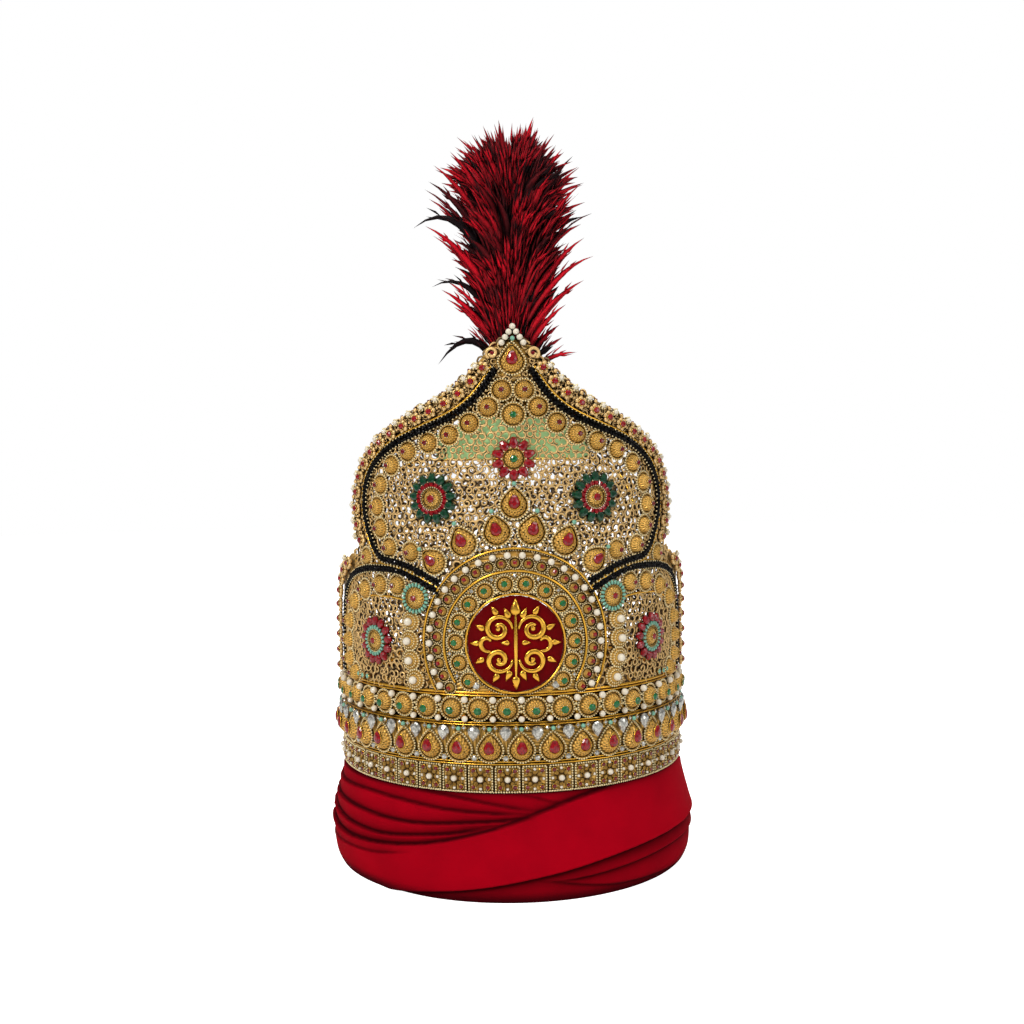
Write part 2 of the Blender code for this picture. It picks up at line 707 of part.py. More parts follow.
def squares_mesh():
    """Lowest band: square settings in relief with a groove between each pair."""
    pitch = 2.0 * math.pi / SQUARES_COUNT
    groove = SQUARE_GROOVE / SHEET_RADIUS / 2.0
    outside = []
    hole = []
    for index in range(SQUARES_COUNT):
        middle = SQUARES_PHASE + pitch * index
        corners = ((-pitch / 2.0 + 0.3 * groove, BAND_RIM), (-pitch / 2.0 + groove, SQUARE_RELIEF),
                   (pitch / 2.0 - groove, SQUARE_RELIEF), (pitch / 2.0 - 0.3 * groove, BAND_RIM))
        for turn, relief in corners:
            side = wall_side(SHEET_RADIUS * (middle + turn), relief)
            outside.append((side.x, side.y))
        inner = wall_side(SHEET_RADIUS * (middle - pitch / 2.0), -SHEET_THICKNESS)
        hole.append((inner.x, inner.y))
    band = flat_mesh(outside, SQUARES_HEIGHT, [hole])
    band.transform(Matrix.Translation((0.0, 0.0, SQUARES_FOOT + SQUARES_HEIGHT / 2.0)))
    return band


def fused_band(foot, height, count, first, setting, place_height):
    """A plain ring with one setting fused to the middle of each side."""
    settings = joined_mesh(setting, band_places(place_height, count, first))
    return fused_mesh(band_ring(foot, height, count, first), settings)


def build_bands(crown):
    """The three stacked bands."""
    add_piece("squares_tier", squares_mesh(), GOLD, crown)
    drop = tear_mesh(PLAIN_DISC_PROFILE, BAND_DROP_RADIUS, BAND_DROP_RISE)
    drop_height = DROPS_FOOT + DROPS_HEIGHT / 2.0 - BAND_DROP_RADIUS * TEAR_STRETCH / 2.0
    drops = fused_band(DROPS_FOOT, DROPS_HEIGHT, DROPS_COUNT, DROPS_PHASE, drop, drop_height)
    add_piece("drops_tier", drops, GOLD, crown)
    disc = setting_mesh(PLAIN_DISC_PROFILE, BAND_DISC_RADIUS, BAND_DISC_RISE)
    disc_height = DISCS_FOOT + DISCS_HEIGHT / 2.0
    discs = fused_band(DISCS_FOOT, DISCS_HEIGHT, DISCS_COUNT, DISCS_PHASE, disc, disc_height)
    add_piece("discs_tier", discs, GOLD, crown)


# Walls and their lines

def build_walls(crown):
    """The pierced front and back walls and the cloth behind the upper openwork."""
    middle = -SHEET_THICKNESS / 2.0
    right = lobe_line()
    lobe_field = mirrored(right)
    covered = [(0.0, MEDALLION_HEIGHT, SETTING_ARC + TEAR_HALF_LENGTH + 0.7 * PIERCE_RADIUS),
               (0.0, TOP_TEAR_HEIGHT, TEAR_RADIUS + PIERCE_RADIUS),
               (0.0, FLOWER_HEIGHT, FLOWER_RADIUS), (0.0, CENTRE_DISC_HEIGHT, CENTRE_DISC_RADIUS)]
    flower = lobe_points([SIDE_FLOWER_PLACE])[0]
    covered += [(side * flower[0], flower[1], SIDE_FLOWER_RADIUS) for side in (-1, 1)]
    margin = ROW_OFFSET + ROW_DISC_RADIUS + PIERCE_RADIUS
    gaps = pierced_gaps(lobe_field, covered, margin, PIERCE_PITCH, PIERCE_RADIUS)
    side_foot = [(ARCH_CENTRE - ARCH_HALF_WIDTH, WALL_FOOT), (ARCH_CENTRE + ARCH_HALF_WIDTH, WALL_FOOT)]
    side_field = [side_foot[1]] + arch_line(0.0, 180.0, 15) + [side_foot[0]]
    rosette = rosette_place()
    arc_cover = (0.0, MEDALLION_HEIGHT, STUD_ARC + BEAD_DISC_RADIUS + 0.5 * PIERCE_RADIUS)
    side_gaps = pierced_gaps(side_field, [arc_cover, (*rosette, ROSETTE_RADIUS)],
                             PIERCE_RADIUS + SIDE_ROW_OFFSET, PIERCE_PITCH, PIERCE_RADIUS)
    gaps += side_gaps
    gaps += [[(-across, height) for across, height in gap] for gap in side_gaps]
    plate = flat_mesh(front_outline(), SHEET_THICKNESS, gaps)
    add_piece("front_plate", bent_mesh(plate, middle), PALE_GOLD, crown)

    outline = back_outline()
    back_gaps = pierced_gaps(outline, [], BORDER_WIDTH + BACK_PIERCE_RADIUS,
                             BACK_PIERCE_PITCH, BACK_PIERCE_RADIUS)
    back = flat_mesh(outline, SHEET_THICKNESS, back_gaps)
    add_piece("back_plate", bent_mesh(back, middle, math.pi), PALE_GOLD, crown)

    cloth = flat_mesh(mirrored(lobe_points(BACKING_EDGE)), BACKING_THICKNESS)
    lift = -SHEET_THICKNESS - GAP - BACKING_THICKNESS / 2.0
    add_piece("backing_cloth", bent_mesh(cloth, lift), GREEN_CLOTH, crown)


def wall_tube(places, side, radius, lift, roundness=0):
    """Round string that follows a line of the wall, on one side of the centre line."""
    points = [wall_side(side * place[0], lift) + Vector((0.0, 0.0, place[1])) for place in places]
    return tube_mesh(points, radius, roundness)


def build_lines(crown):
    """Black bead lines and the rows of discs inside them."""
    lobe = spaced_along(lobe_line(), STRIP / 2.0)
    arch = spaced_along(side_line(), STRIP / 2.0)
    lobe_row = offset_line(lobe_line()[3:], -ROW_OFFSET)
    pair_gap = ROW_DISC_RADIUS + SETTING_CLEARANCE / 2.0
    lobe_row = [place for place in lobe_row if place.y < PAIR_HEIGHT and place.x > pair_gap]
    lobe_row.append(Vector((pair_gap, PAIR_HEIGHT)))
    row_disc = setting_mesh(PLAIN_DISC_PROFILE, ROW_DISC_RADIUS, ROW_DISC_RISE)
    lobe_places = spaced_along(lobe_row, 2.0 * ROW_DISC_RADIUS + ROW_SPACE)

    arch_row = arch_line(-SIDE_ROW_OFFSET, 98.0, 24)
    foot = Vector((arch_row[0][0], WALL_FOOT + SIDE_ROW_DISC_RADIUS + SETTING_CLEARANCE))
    side_disc = setting_mesh(PLAIN_DISC_PROFILE, SIDE_ROW_DISC_RADIUS, ROW_DISC_RISE)
    side_places = spaced_along([foot] + arch_row, 2.0 * SIDE_ROW_DISC_RADIUS + SIDE_ROW_SPACE)
    rows = (("lobe_disc_row", lobe_places, row_disc), ("side_disc_row", side_places, side_disc))

    for side, word in ((-1, "left"), (1, "right")):
        add_piece("bead_line_" + word, wall_tube(lobe, side, BEAD_LINE_RADIUS, BEAD_LINE_LIFT),
                  BLACK_BEAD, crown)
        add_piece("side_bead_line_" + word,
                  wall_tube(arch, side, BEAD_LINE_RADIUS, BEAD_LINE_LIFT), BLACK_BEAD, crown)
        for name, places, disc in rows:
            wire = wall_tube(places, side, ROW_WIRE_RADIUS, GAP + 1.4 * ROW_WIRE_RADIUS)
            discs = [joined_mesh(disc, [seat(side * place.x, place.y)]) for place in places]
            add_piece(f"{name}_{word}", fused_mesh(wire, *discs), GOLD, crown)


# Medallion

def medallion_arc(radius, rise):
    """Points of a circle round the medallion's centre, down to a rise below the centre."""
    low = math.asin(rise / radius)
    turn = math.pi + 2.0 * low
    return [medallion_point(radius, turn * step / CIRCLE_STEPS - low) for step in range(CIRCLE_STEPS + 1)]


def medallion_circle(radius):
    """Points of a whole circle round the medallion's centre."""
    turns = [2.0 * math.pi * step / CIRCLE_STEPS for step in range(CIRCLE_STEPS)]
    return [medallion_point(radius, turn) for turn in turns]


def ornament_outline():
    """Symmetric rosette of leaves round a broad middle."""
    steps = ORNAMENT_LEAVES * LEAF_STEPS
    outline = []
    for step in range(steps):
        angle = 2.0 * math.pi * step / steps
        wave = 0.5 + 0.5 * math.cos(ORNAMENT_LEAVES * angle)
        share = LEAF_CORE + LEAF_CORE * wave ** LEAF_POINT
        outline.append(medallion_point((ENAMEL_RADIUS - 2.0 * SETTING_CLEARANCE) * share, angle))
    return outline


def build_medallion(crown):
    """Frames with their stones, enamel, gold ornament and the arch of pearls."""
    outline = medallion_arc(MEDALLION_RADIUS, MEDALLION_RISE)
    frame = flat_mesh(outline, FRAME_THICKNESS, [medallion_circle(ENAMEL_RADIUS)])
    frame = bent_mesh(frame, GAP + FRAME_THICKNESS / 2.0)
    disc = setting_mesh(PLAIN_DISC_PROFILE, FRAME_DISC_RADIUS, FRAME_DISC_RISE)
    reach = ENAMEL_RADIUS + FRAME_DISC_RADIUS + SETTING_CLEARANCE
    low = math.asin((MEDALLION_RISE - FRAME_DISC_RADIUS - SETTING_CLEARANCE) / reach)
    places = []
    for index in range(FRAME_DISC_COUNT):
        angle = -low + (math.pi + 2.0 * low) * index / (FRAME_DISC_COUNT - 1)
        place = medallion_point(reach, angle)
        places.append(seat(*place, lift=GAP + FRAME_THICKNESS - SINK))
    add_piece("medallion_frame", fused_mesh(frame, joined_mesh(disc, places)), GOLD, crown)

    enamel = flat_mesh(medallion_circle(ENAMEL_RADIUS - GAP), ENAMEL_THICKNESS)
    add_piece("enamel_disc", bent_mesh(enamel, GAP + ENAMEL_THICKNESS / 2.0), ENAMEL, crown)
    scroll = flat_mesh(ornament_outline(), ORNAMENT_THICKNESS)
    lift = 2.0 * GAP + ENAMEL_THICKNESS + ORNAMENT_THICKNESS / 2.0
    add_piece("medallion_ornament", bent_mesh(scroll, lift), GOLD, crown)

    arch = medallion_arc(MEDALLION_RADIUS - PEARL_ARCH_INSET, MEDALLION_RISE - PEARL_ARCH_RADIUS - GAP)
    lift = 2.0 * GAP + FRAME_THICKNESS + PEARL_ARCH_RADIUS
    add_piece("pearl_arch", wall_tube(arch, 1, PEARL_ARCH_RADIUS, lift, 1), PEARL, crown)


# Settings

def rosette_place():
    """Centre of the right rosette."""
    return (ARCH_CENTRE + ROSETTE_PLACE[0] * ARCH_HALF_WIDTH, ARCH_HEIGHT + ROSETTE_PLACE[1] * ARCH_RISE)


def build_settings(crown):
    """Drops over the medallion, flowers, rosettes, studs and the pieces of the point."""
    tear = tear_mesh(TEAR_PROFILE, TEAR_RADIUS, TEAR_RISE)
    drop_down = TEAR_RADIUS * TEAR_STRETCH / 2.0

    def tear_seat(reach, angle):
        place = medallion_point(reach - drop_down, angle)
        return seat(*place, turn=angle - math.pi / 2.0)

    top = tear.copy()
    top.transform(tear_seat(TOP_TEAR_HEIGHT - MEDALLION_HEIGHT, math.pi / 2.0))
    add_piece("tear_mount_top", top, RED_STONE, crown)
    for side, word in ((-1, "left"), (1, "right")):
        for index in range(3):
            angle = math.pi / 2.0 - side * (index + 0.5) * TEAR_STEP / SETTING_ARC
            drop = tear.copy()
            drop.transform(tear_seat(SETTING_ARC, angle))
            add_piece(f"tear_mount_{word}_{index + 1}", drop, RED_STONE, crown)

    apex = tear_mesh(TEAR_PROFILE, APEX_RADIUS, TEAR_RISE)
    apex.transform(seat(0.0, APEX_HEIGHT - APEX_RADIUS * TEAR_STRETCH / 2.0))
    add_piece("apex_mount", apex, RED_STONE, crown)

    centre_disc = setting_mesh(DISC_PROFILE, CENTRE_DISC_RADIUS, ROW_DISC_RISE)
    centre_disc.transform(seat(0.0, CENTRE_DISC_HEIGHT))
    add_piece("centre_disc", centre_disc, GOLD, crown)

    top_flower = flower_mesh(TOP_PETALS, FLOWER_RADIUS)
    top_flower.transform(seat(0.0, FLOWER_HEIGHT))
    add_piece("flower_top", top_flower, RED_STONE, crown)

    side_flower = flower_mesh(SIDE_PETALS, SIDE_FLOWER_RADIUS)
    rosette = flower_mesh(ROSETTE_PETALS, ROSETTE_RADIUS)
    bead_disc = setting_mesh(DISC_PROFILE, BEAD_DISC_RADIUS, BEAD_DISC_RISE, ROUND_SIDES)
    notch_disc = setting_mesh(DISC_PROFILE, NOTCH_DISC_RADIUS, ROW_DISC_RISE)
    stud = setting_mesh(DISC_PROFILE, STUD_RADIUS, STUD_RISE)
    stud_step = STUD_STEP / STUD_ARC
    lowest_stud = -math.asin((MEDALLION_RISE - STUD_RADIUS - SETTING_CLEARANCE) / STUD_ARC)
    first_stud = lowest_stud + (STUD_COUNT - 1) * stud_step
    bead_angle = first_stud + (BEAD_DISC_RADIUS + STUD_RADIUS + SETTING_CLEARANCE / 2.0) / STUD_ARC
    flower = lobe_points([SIDE_FLOWER_PLACE])[0]
    notch = (NOTCH_PLACE - NOTCH_DISC_RADIUS, arch_point(BORDER_WIDTH, math.radians(60.0))[1])
    settings = [("flower", side_flower, flower, GREEN_STONE),
                ("rosette", rosette, rosette_place(), RED_STONE),
                ("bead_disc", bead_disc, medallion_point(STUD_ARC, bead_angle), GOLD),
                ("notch_disc", notch_disc, notch, GOLD)]
    for side, word in ((-1, "left"), (1, "right")):
        for name, mesh, place, finish in settings:
            piece = mesh.copy()
            piece.transform(seat(side * place[0], place[1]))
            add_piece(f"{name}_{word}", piece, finish, crown)
        for index in range(STUD_COUNT):
            place = medallion_point(STUD_ARC, first_stud - index * stud_step)
            piece = stud.copy()
            piece.transform(seat(side * place[0], place[1]))
            add_piece(f"stud_{word}_{index + 1}", piece, GOLD, crown)


def build_apex_pearls(crown):
    """Pearls on a bent strip that crown the point: two slopes and one in the middle."""
    across, down = PEARL_PITCH * math.cos(PEARL_SLOPE), PEARL_PITCH * math.sin(PEARL_SLOPE)
    top = WALL_TOP + 2.0 * PEARL_PITCH
    middle = top - 2.0 * PEARL_PITCH
    places = [(0.0, top), (0.0, middle)]
    for row in range(1, PEARL_ROWS + 1):
        places += [(side * row * across, top - row * down) for side in (-1, 1)]
    wide = 0.7 * PEARL_RADIUS
    low_u, low_z = PEARL_ROWS * across, top - PEARL_ROWS * down
    strip = [(wide, middle - wide), (low_u - wide, low_z - wide), (low_u + wide, low_z - wide),
             (low_u + wide, low_z + wide), (wide, top + wide)]
    backing = bent_mesh(flat_mesh(mirrored(strip), PEARL_RADIUS), GAP + PEARL_RADIUS / 2.0)
    shape = bmesh.new()
    bmesh.ops.create_uvsphere(shape, u_segments=10, v_segments=4, radius=PEARL_RADIUS)
    pearl = bpy.data.meshes.new("pearl")
    shape.to_mesh(pearl)
    shape.free()
    pearls = joined_mesh(pearl, [seat(*place, lift=GAP + PEARL_RADIUS + MERGE) for place in places])
    add_piece("apex_pearls", fused_mesh(backing, pearls), PEARL, crown)


def build_crown():
    """Build every piece of the crown into one collection."""
    clear_scene()
    crown = bpy.data.collections.new("ceremonial_crown")
    bpy.context.scene.collection.children.link(crown)
    add_piece("turban_wrap", turban_mesh(), CRIMSON_CLOTH, crown)
    build_bands(crown)
    build_walls(crown)
    build_lines(crown)
    build_medallion(crown)
    build_settings(crown)
    build_apex_pearls(crown)
    add_piece("plume_holder", socket_mesh(), GOLD, crown)
    add_piece("plume", plume_mesh(), CRIMSON_CLOTH, crown)


build_crown()
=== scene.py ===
"""Looks of a tall round crown: pierced gilt metal, stones and pearls, wound cloth and a plume."""

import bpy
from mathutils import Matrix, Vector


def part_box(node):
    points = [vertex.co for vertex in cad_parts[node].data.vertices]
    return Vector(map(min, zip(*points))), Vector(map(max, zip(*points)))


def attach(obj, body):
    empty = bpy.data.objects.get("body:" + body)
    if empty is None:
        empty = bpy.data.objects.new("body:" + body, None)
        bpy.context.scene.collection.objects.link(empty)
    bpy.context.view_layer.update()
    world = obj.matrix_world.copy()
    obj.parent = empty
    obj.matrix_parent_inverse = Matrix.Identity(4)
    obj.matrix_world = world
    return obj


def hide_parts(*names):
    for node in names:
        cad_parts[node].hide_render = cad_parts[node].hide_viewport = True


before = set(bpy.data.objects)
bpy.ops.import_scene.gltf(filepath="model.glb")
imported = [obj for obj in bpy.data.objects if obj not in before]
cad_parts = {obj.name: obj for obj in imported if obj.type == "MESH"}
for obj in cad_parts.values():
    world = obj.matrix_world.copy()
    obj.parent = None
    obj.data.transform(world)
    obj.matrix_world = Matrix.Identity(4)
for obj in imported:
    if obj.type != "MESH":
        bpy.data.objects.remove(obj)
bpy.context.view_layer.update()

import math
from collections import namedtuple

import bpy
import numpy as np
from bpy.props import FloatProperty, FloatVectorProperty, IntProperty, PointerProperty
from mathutils import Matrix

bl_info = {
    "name": "Ceremonial crown",
    "version": (1, 0, 0),
    "blender": (4, 5, 0),
    "location": "3D View > Sidebar > Crown",
    "description": "Fine metalwork, stones, cloth and feathers over the crown's solid model",
    "category": "Object",
}

MM = 0.001
SHEET = -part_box("front_plate")[0].y / MM
TURN = 2 * math.pi
# Walls, in millimetres: u runs along the wall from the front's middle, z is the height.
WALL_FOOT = 112.3
FOOT_STRAP = (112.4, 113.9)
LOBE_HALF_WIDTH = 112.5
WALL_HEIGHT = 189.9
BACK_HALF_WIDTH = 169.0
BACK_HEIGHT = 127.5
# Medallion: its middle, then radii of the enamel's rim, the discs, the middle strap, the small domes,
# the pearls and the outer strap, and the first disc's angle and the step to the next in degrees.
MEDALLION = (0.0, 139.8)
ENAMEL_RIM, DISC_RING, MIDDLE_STRAP, DOME_RING, PEARL_RING, OUTER_STRAP = 26.7, 32.4, 39.3, 43.4, 47.7, 51.3
DISC_FIRST, DISC_STEP = -39, 19.846
# Middle of the top setting, and the plume's middle from front to back.
APEX = (-0.4, 290.9)
PLUME_DEPTH = -87.0
# Settings stand proud of the wall, so their feet are a little nearer the middle than they look.
INWARD = 0.97
SQUARES, DROPS, DISCS = 44, 38, 42
# Turn of each band's first setting in degrees, and the band's lower and upper edge.
SQUARES_PHASE, DROPS_PHASE, DISCS_PHASE = -2.9, 1.4, -2.8
SQUARES_BAND, DROPS_BAND, DISCS_BAND = (58.95, 74.0), (74.25, 96.45), (96.55, 112.15)

# Edge of the large lobe, from its foot to the point: shares of its half width and of the wall's height.
LOBE_EDGE = (
    (0.958, 0.430), (0.987, 0.474), (1.000, 0.534), (0.969, 0.595), (0.907, 0.653), (0.827, 0.701),
    (0.711, 0.745), (0.604, 0.781), (0.480, 0.815), (0.369, 0.842), (0.283, 0.874), (0.210, 0.911),
    (0.166, 0.939), (0.107, 0.976), (0.045, 1.000),
)
# Line of black beads in the large lobe, from the medallion to the point, in the same shares.
LOBE_LINE = (
    (0.360, 0.313), (0.415, 0.330), (0.471, 0.345), (0.551, 0.363), (0.627, 0.373), (0.724, 0.378),
    (0.773, 0.406), (0.818, 0.453),
    (0.851, 0.495), (0.862, 0.539), (0.853, 0.582), (0.820, 0.624), (0.759, 0.662), (0.689, 0.692),
    (0.600, 0.720), (0.498, 0.742), (0.379, 0.767), (0.280, 0.792), (0.200, 0.825), (0.142, 0.863),
    (0.098, 0.903), (0.081, 0.918),
)
# Edge of the back wall, from its front end to its middle: shares of its half width and height.
BACK_EDGE = (
    (1.00, 0.00), (1.00, 0.20), (0.96, 0.29), (0.87, 0.355), (0.78, 0.375), (0.70, 0.365), (0.66, 0.395),
    (0.65, 0.47), (0.64, 0.60), (0.60, 0.76), (0.54, 0.89), (0.46, 0.965), (0.36, 1.00),
)
# Right-hand discs inside the large lobe's bead line: (u, z) in millimetres.
LOBE_DISCS = (
    (24.5, 258.2), (36.3, 252.1), (49.1, 248.1), (62.9, 243.6), (75.2, 236.2), (84.7, 225.5),
    (88.1, 213.2), (85.3, 201.2), (77.8, 190.5), (61.8, 188.5), (6.2, 275.7), (13.9, 266.5),
)
# Right-hand discs inside the side lobe's bead line.
SIDE_DISCS = (
    (72.0, 170.0), (86.5, 169.6), (102.0, 166.0), (116.0, 158.0), (124.5, 146.0), (127.0, 134.5),
    (125.5, 123.5), (116.0, 116.5),
)
# Arch of the side lobe: middle, springing height, half width, rise and squareness.
ARCH_MIDDLE, ARCH_FOOT, ARCH_HALF, ARCH_RISE, ARCH_POWER = 80.0, 134.8, 56.0, 44.0, 2.4
# Cloth ring's outside: share of its height, share of its swell.
CLOTH_PROFILE = (
    (0.00, 0.60), (0.05, 0.85), (0.12, 0.96), (0.22, 1.01), (0.34, 1.03), (0.46, 1.00),
    (0.57, 0.90), (0.68, 0.74), (0.79, 0.54), (0.90, 0.33), (1.00, 0.19),
)
CLOTH_HEIGHT, CLOTH_INSIDE, CLOTH_SWELL = 58.6, 93.2, 8.0
# Folds of the cloth: depth in mm, side that stands proud (1 below, -1 above), then (degrees, height) pairs.
FOLDS = (
    (0.7, 1, ((-100, 56), (-73, 57), (-35, 58.5), (-19, 56), (1, 50), (9, 47.5))),
    (0.9, 1, ((-100, 47), (-77, 49), (-52, 52), (-35, 51), (-23, 49), (-8, 48), (4, 47))),
    (1.1, 1, ((-100, 38.5), (-82, 40), (-60, 41), (-43, 40), (-31, 40), (-15, 43), (1, 45), (6, 45.5))),
    (1.2, 1, ((-100, 31.5), (-81, 33), (-60, 31), (-43, 31), (-31, 34), (-15, 38), (-5, 43))),
    (1.5, 1, ((-100, 25), (-81, 25), (-66, 23.5), (-49, 25), (-31, 29), (-19, 34), (-12, 38), (1, 44.6),
              (6, 48), (14, 53), (22, 56), (30, 58), (40, 61))),
    (0.5, 1, ((-100, 14.5), (-82, 15), (-61, 18), (-46, 20), (-31, 25))),
    (1.4, -1, ((-47, -2), (-41, 0.5), (-23, 4.6), (-12, 8.4), (1, 12), (14, 18), (21, 21), (35, 25),
               (45, 25.5), (71, 26.5), (90, 27), (135, 27), (180, 26.5), (230, 26), (285, 25))),
    (0.5, -1, ((-4, 59.6), (5, 57), (16, 51))),
    (0.9, -1, ((8, 12), (14, 12.5), (28, 13.5), (45, 18), (67, 17.5), (90, 17.5), (180, 16), (285, 14.5))),
    (0.7, -1, ((4, 14), (9, 12.5), (21, 8), (30, 5.5), (45, 4), (70, 2))),
    (1.0, 1, ((110, 62), (150, 56), (200, 50), (240, 43), (285, 38.5))),
    (0.8, 1, ((150, 62), (200, 58.5), (240, 52), (285, 47))),
    (1.1, 1, ((80, 56), (100, 50), (130, 44), (180, 38), (230, 34), (285, 31.5))),
    (0.6, 1, ((195, 62), (230, 59), (285, 56))),
)
# Long feathers that shape the plume's outline: tip across, tip height, darkness, droop of the tip.
LONG_FEATHERS = (
    (13, 422, 0.1, 0), (-6, 419, 0.6, 0), (6, 418, 0.2, 0), (16, 417, 0.1, 0), (-22, 409, 0.3, 0),
    (-32, 403, 0.3, 0), (-41, 397, 0.3, 0), (-44, 389, 0.9, 1), (-46, 384, 0.8, 1), (-44, 380, 0.3, 1),
    (-52, 362, 1.0, 14), (-46, 364, 0.1, 1), (-42, 360, 0.1, 0), (-43, 332, 1.0, 9), (-36, 336, 0.1, 0),
    (-38, 331, 0.0, 0), (-35, 326, 0.1, 0), (-29, 321, 0.1, 0), (-24, 310, 0.1, 0), (-40, 290, 1.0, 14),
    (28, 404, 0.1, 0), (34, 401, 0.9, 0), (31, 392, 0.4, 0), (38, 386, 0.2, 0), (37, 381, 0.2, 0),
    (44, 370, 0.9, 3), (30, 362, 0.1, 0), (40, 358, 0.1, 0), (34, 352, 0.2, 0), (45, 348, 0.1, 2),
    (40, 336, 0.1, 0), (30, 329, 0.1, 0), (29, 321, 0.2, 0), (26, 311, 0.4, 0), (28, 305, 0.3, 0),
    (35, 296, 0.1, 2), (22, 300, 1.0, 0), (-14, 408, 0.9, 0), (20, 409, 0.8, 0), (24, 396, 0.2, 0),
)
# Half width of the plume at each height.
PLUME_WIDTH = (
    (285, 6), (292, 9), (300, 13), (311, 18), (321, 23), (332, 27), (345, 31), (360, 35), (375, 40),
    (388, 41), (397, 37), (405, 29), (412, 18), (420, 7),
)
FINISHES = (
    "gilt", "granulated", "filigree", "seed", "red_stone", "dark_stone", "green_stone", "leaf_stone",
    "clear_stone", "pearl", "turquoise", "black_bead", "recess", "crimson_cloth", "green_cloth", "feather",
    "dull_gilt",
)
# Names of the finishes' materials: what each is and how its surface was made.
LABELS = {
    "gilt": "gilt brass, drawn and burnished", "granulated": "gilt brass, pressed and granulated",
    "filigree": "gilt wire, coiled and soldered", "seed": "gilt granules, fused",
    "dull_gilt": "gilt wire, left unburnished", "recess": "gilt brass, dull in its recesses",
    "red_stone": "red glass, cut and foiled", "dark_stone": "garnet glass, cut",
    "green_stone": "green glass, cut and foiled", "leaf_stone": "deep green glass, cut as petals",
    "clear_stone": "clear glass, cut and foiled", "pearl": "cream pearl, natural nacre",
    "turquoise": "turquoise, tumbled", "black_bead": "black glass, faceted",
    "crimson_cloth": "crimson crepe, woven", "green_cloth": "green silk, woven",
    "feather": "cock hackles, dyed crimson", "enamel": "dark red enamel, fired",
}
# Cut stones: colour, roughness and how much of the foil behind them shows.
STONES = {
    "red_stone": ("red", 0.18, 0.0), "dark_stone": ("dark_red", 0.2, 0.0),
    "green_stone": ("green", 0.18, 0.0), "leaf_stone": ("leaf", 0.15, 0.0),
    "clear_stone": ("clear", 0.1, 0.7),
}
FLAT = (*STONES, "black_bead")
# Lights: name, place in metres, side of the square, watts and tint; all are turned to the aim.
LIGHTS = (
    ("key", (-0.8, -1.1, 0.95), 0.35, 11.6, (1.0, 0.98, 0.95)),
    ("fill", (1.15, -0.9, 0.55), 0.6, 3.4, (0.98, 0.99, 1.0)),
    ("top", (0.1, -0.2, 1.5), 0.8, 7.0, (1.0, 1.0, 1.0)),
    ("back", (0.4, 1.3, 0.9), 0.8, 6.0, (1.0, 1.0, 1.0)),
)
AIM = (0.0, 0.0, 0.2)
WHITE = (1.0, 1.0, 1.0, 1.0)
# Camera: distance and height in metres, then its turns in degrees, as the bands curve in the photo.
CAMERA_DISTANCE, CAMERA_HEIGHT = 0.749, 0.2356
CAMERA_AROUND, CAMERA_YAW, CAMERA_PITCH, CAMERA_ROLL = -1.5, 0.13, 2.22, -0.65

Form = namedtuple("Form", "points faces finish local")


class CrownSizes(bpy.types.PropertyGroup):
    """Sizes that a user would change."""

    wire: FloatProperty(
        name="Filigree wire", description="Thickness of the filigree wire", default=0.00122, unit="LENGTH")
    curl: FloatProperty(
        name="Curl", description="Outer radius of a filigree curl", default=0.002, unit="LENGTH")
    curl_pitch: FloatProperty(
        name="Curl pitch", description="Distance between neighbouring curls", default=0.0042, unit="LENGTH")
    seed_pitch: FloatProperty(
        name="Seed pitch", description="Distance between the granules of a beaded rim",
        default=0.00142, unit="LENGTH")
    pearl: FloatProperty(
        name="Pearl", description="Radius of a pearl of the arch", default=0.0019, unit="LENGTH")
    black_bead: FloatProperty(
        name="Black bead", description="Radius of a faceted black bead", default=0.0012, unit="LENGTH")
    fold: FloatProperty(
        name="Fold depth", description="Depth of the cloth's folds against the usual one",
        default=1.35, min=0.0)
    feathers: IntProperty(
        name="Feathers", description="Number of hackle feathers in the plume's body", default=560, min=1)
    lens: FloatProperty(
        name="Focal length", description="Focal length of the camera's lens in millimetres",
        default=42.6, unit="CAMERA")


def linear(code):
    """sRGB hex code turned linear: (c/12.92) below 0.04045, else ((c + 0.055)/1.055) to the power 2.4."""
    shares = [int(code[k:k + 2], 16) / 255 for k in (1, 3, 5)]
    return [c / 12.92 if c <= 0.04045 else ((c + 0.055) / 1.055) ** 2.4 for c in shares]


def colour(name, description, code):
    """Colour property with a default given as a hex code."""
    return FloatVectorProperty(
        name=name, description=description, subtype="COLOR", size=3, min=0.0, max=1.0, default=linear(code))


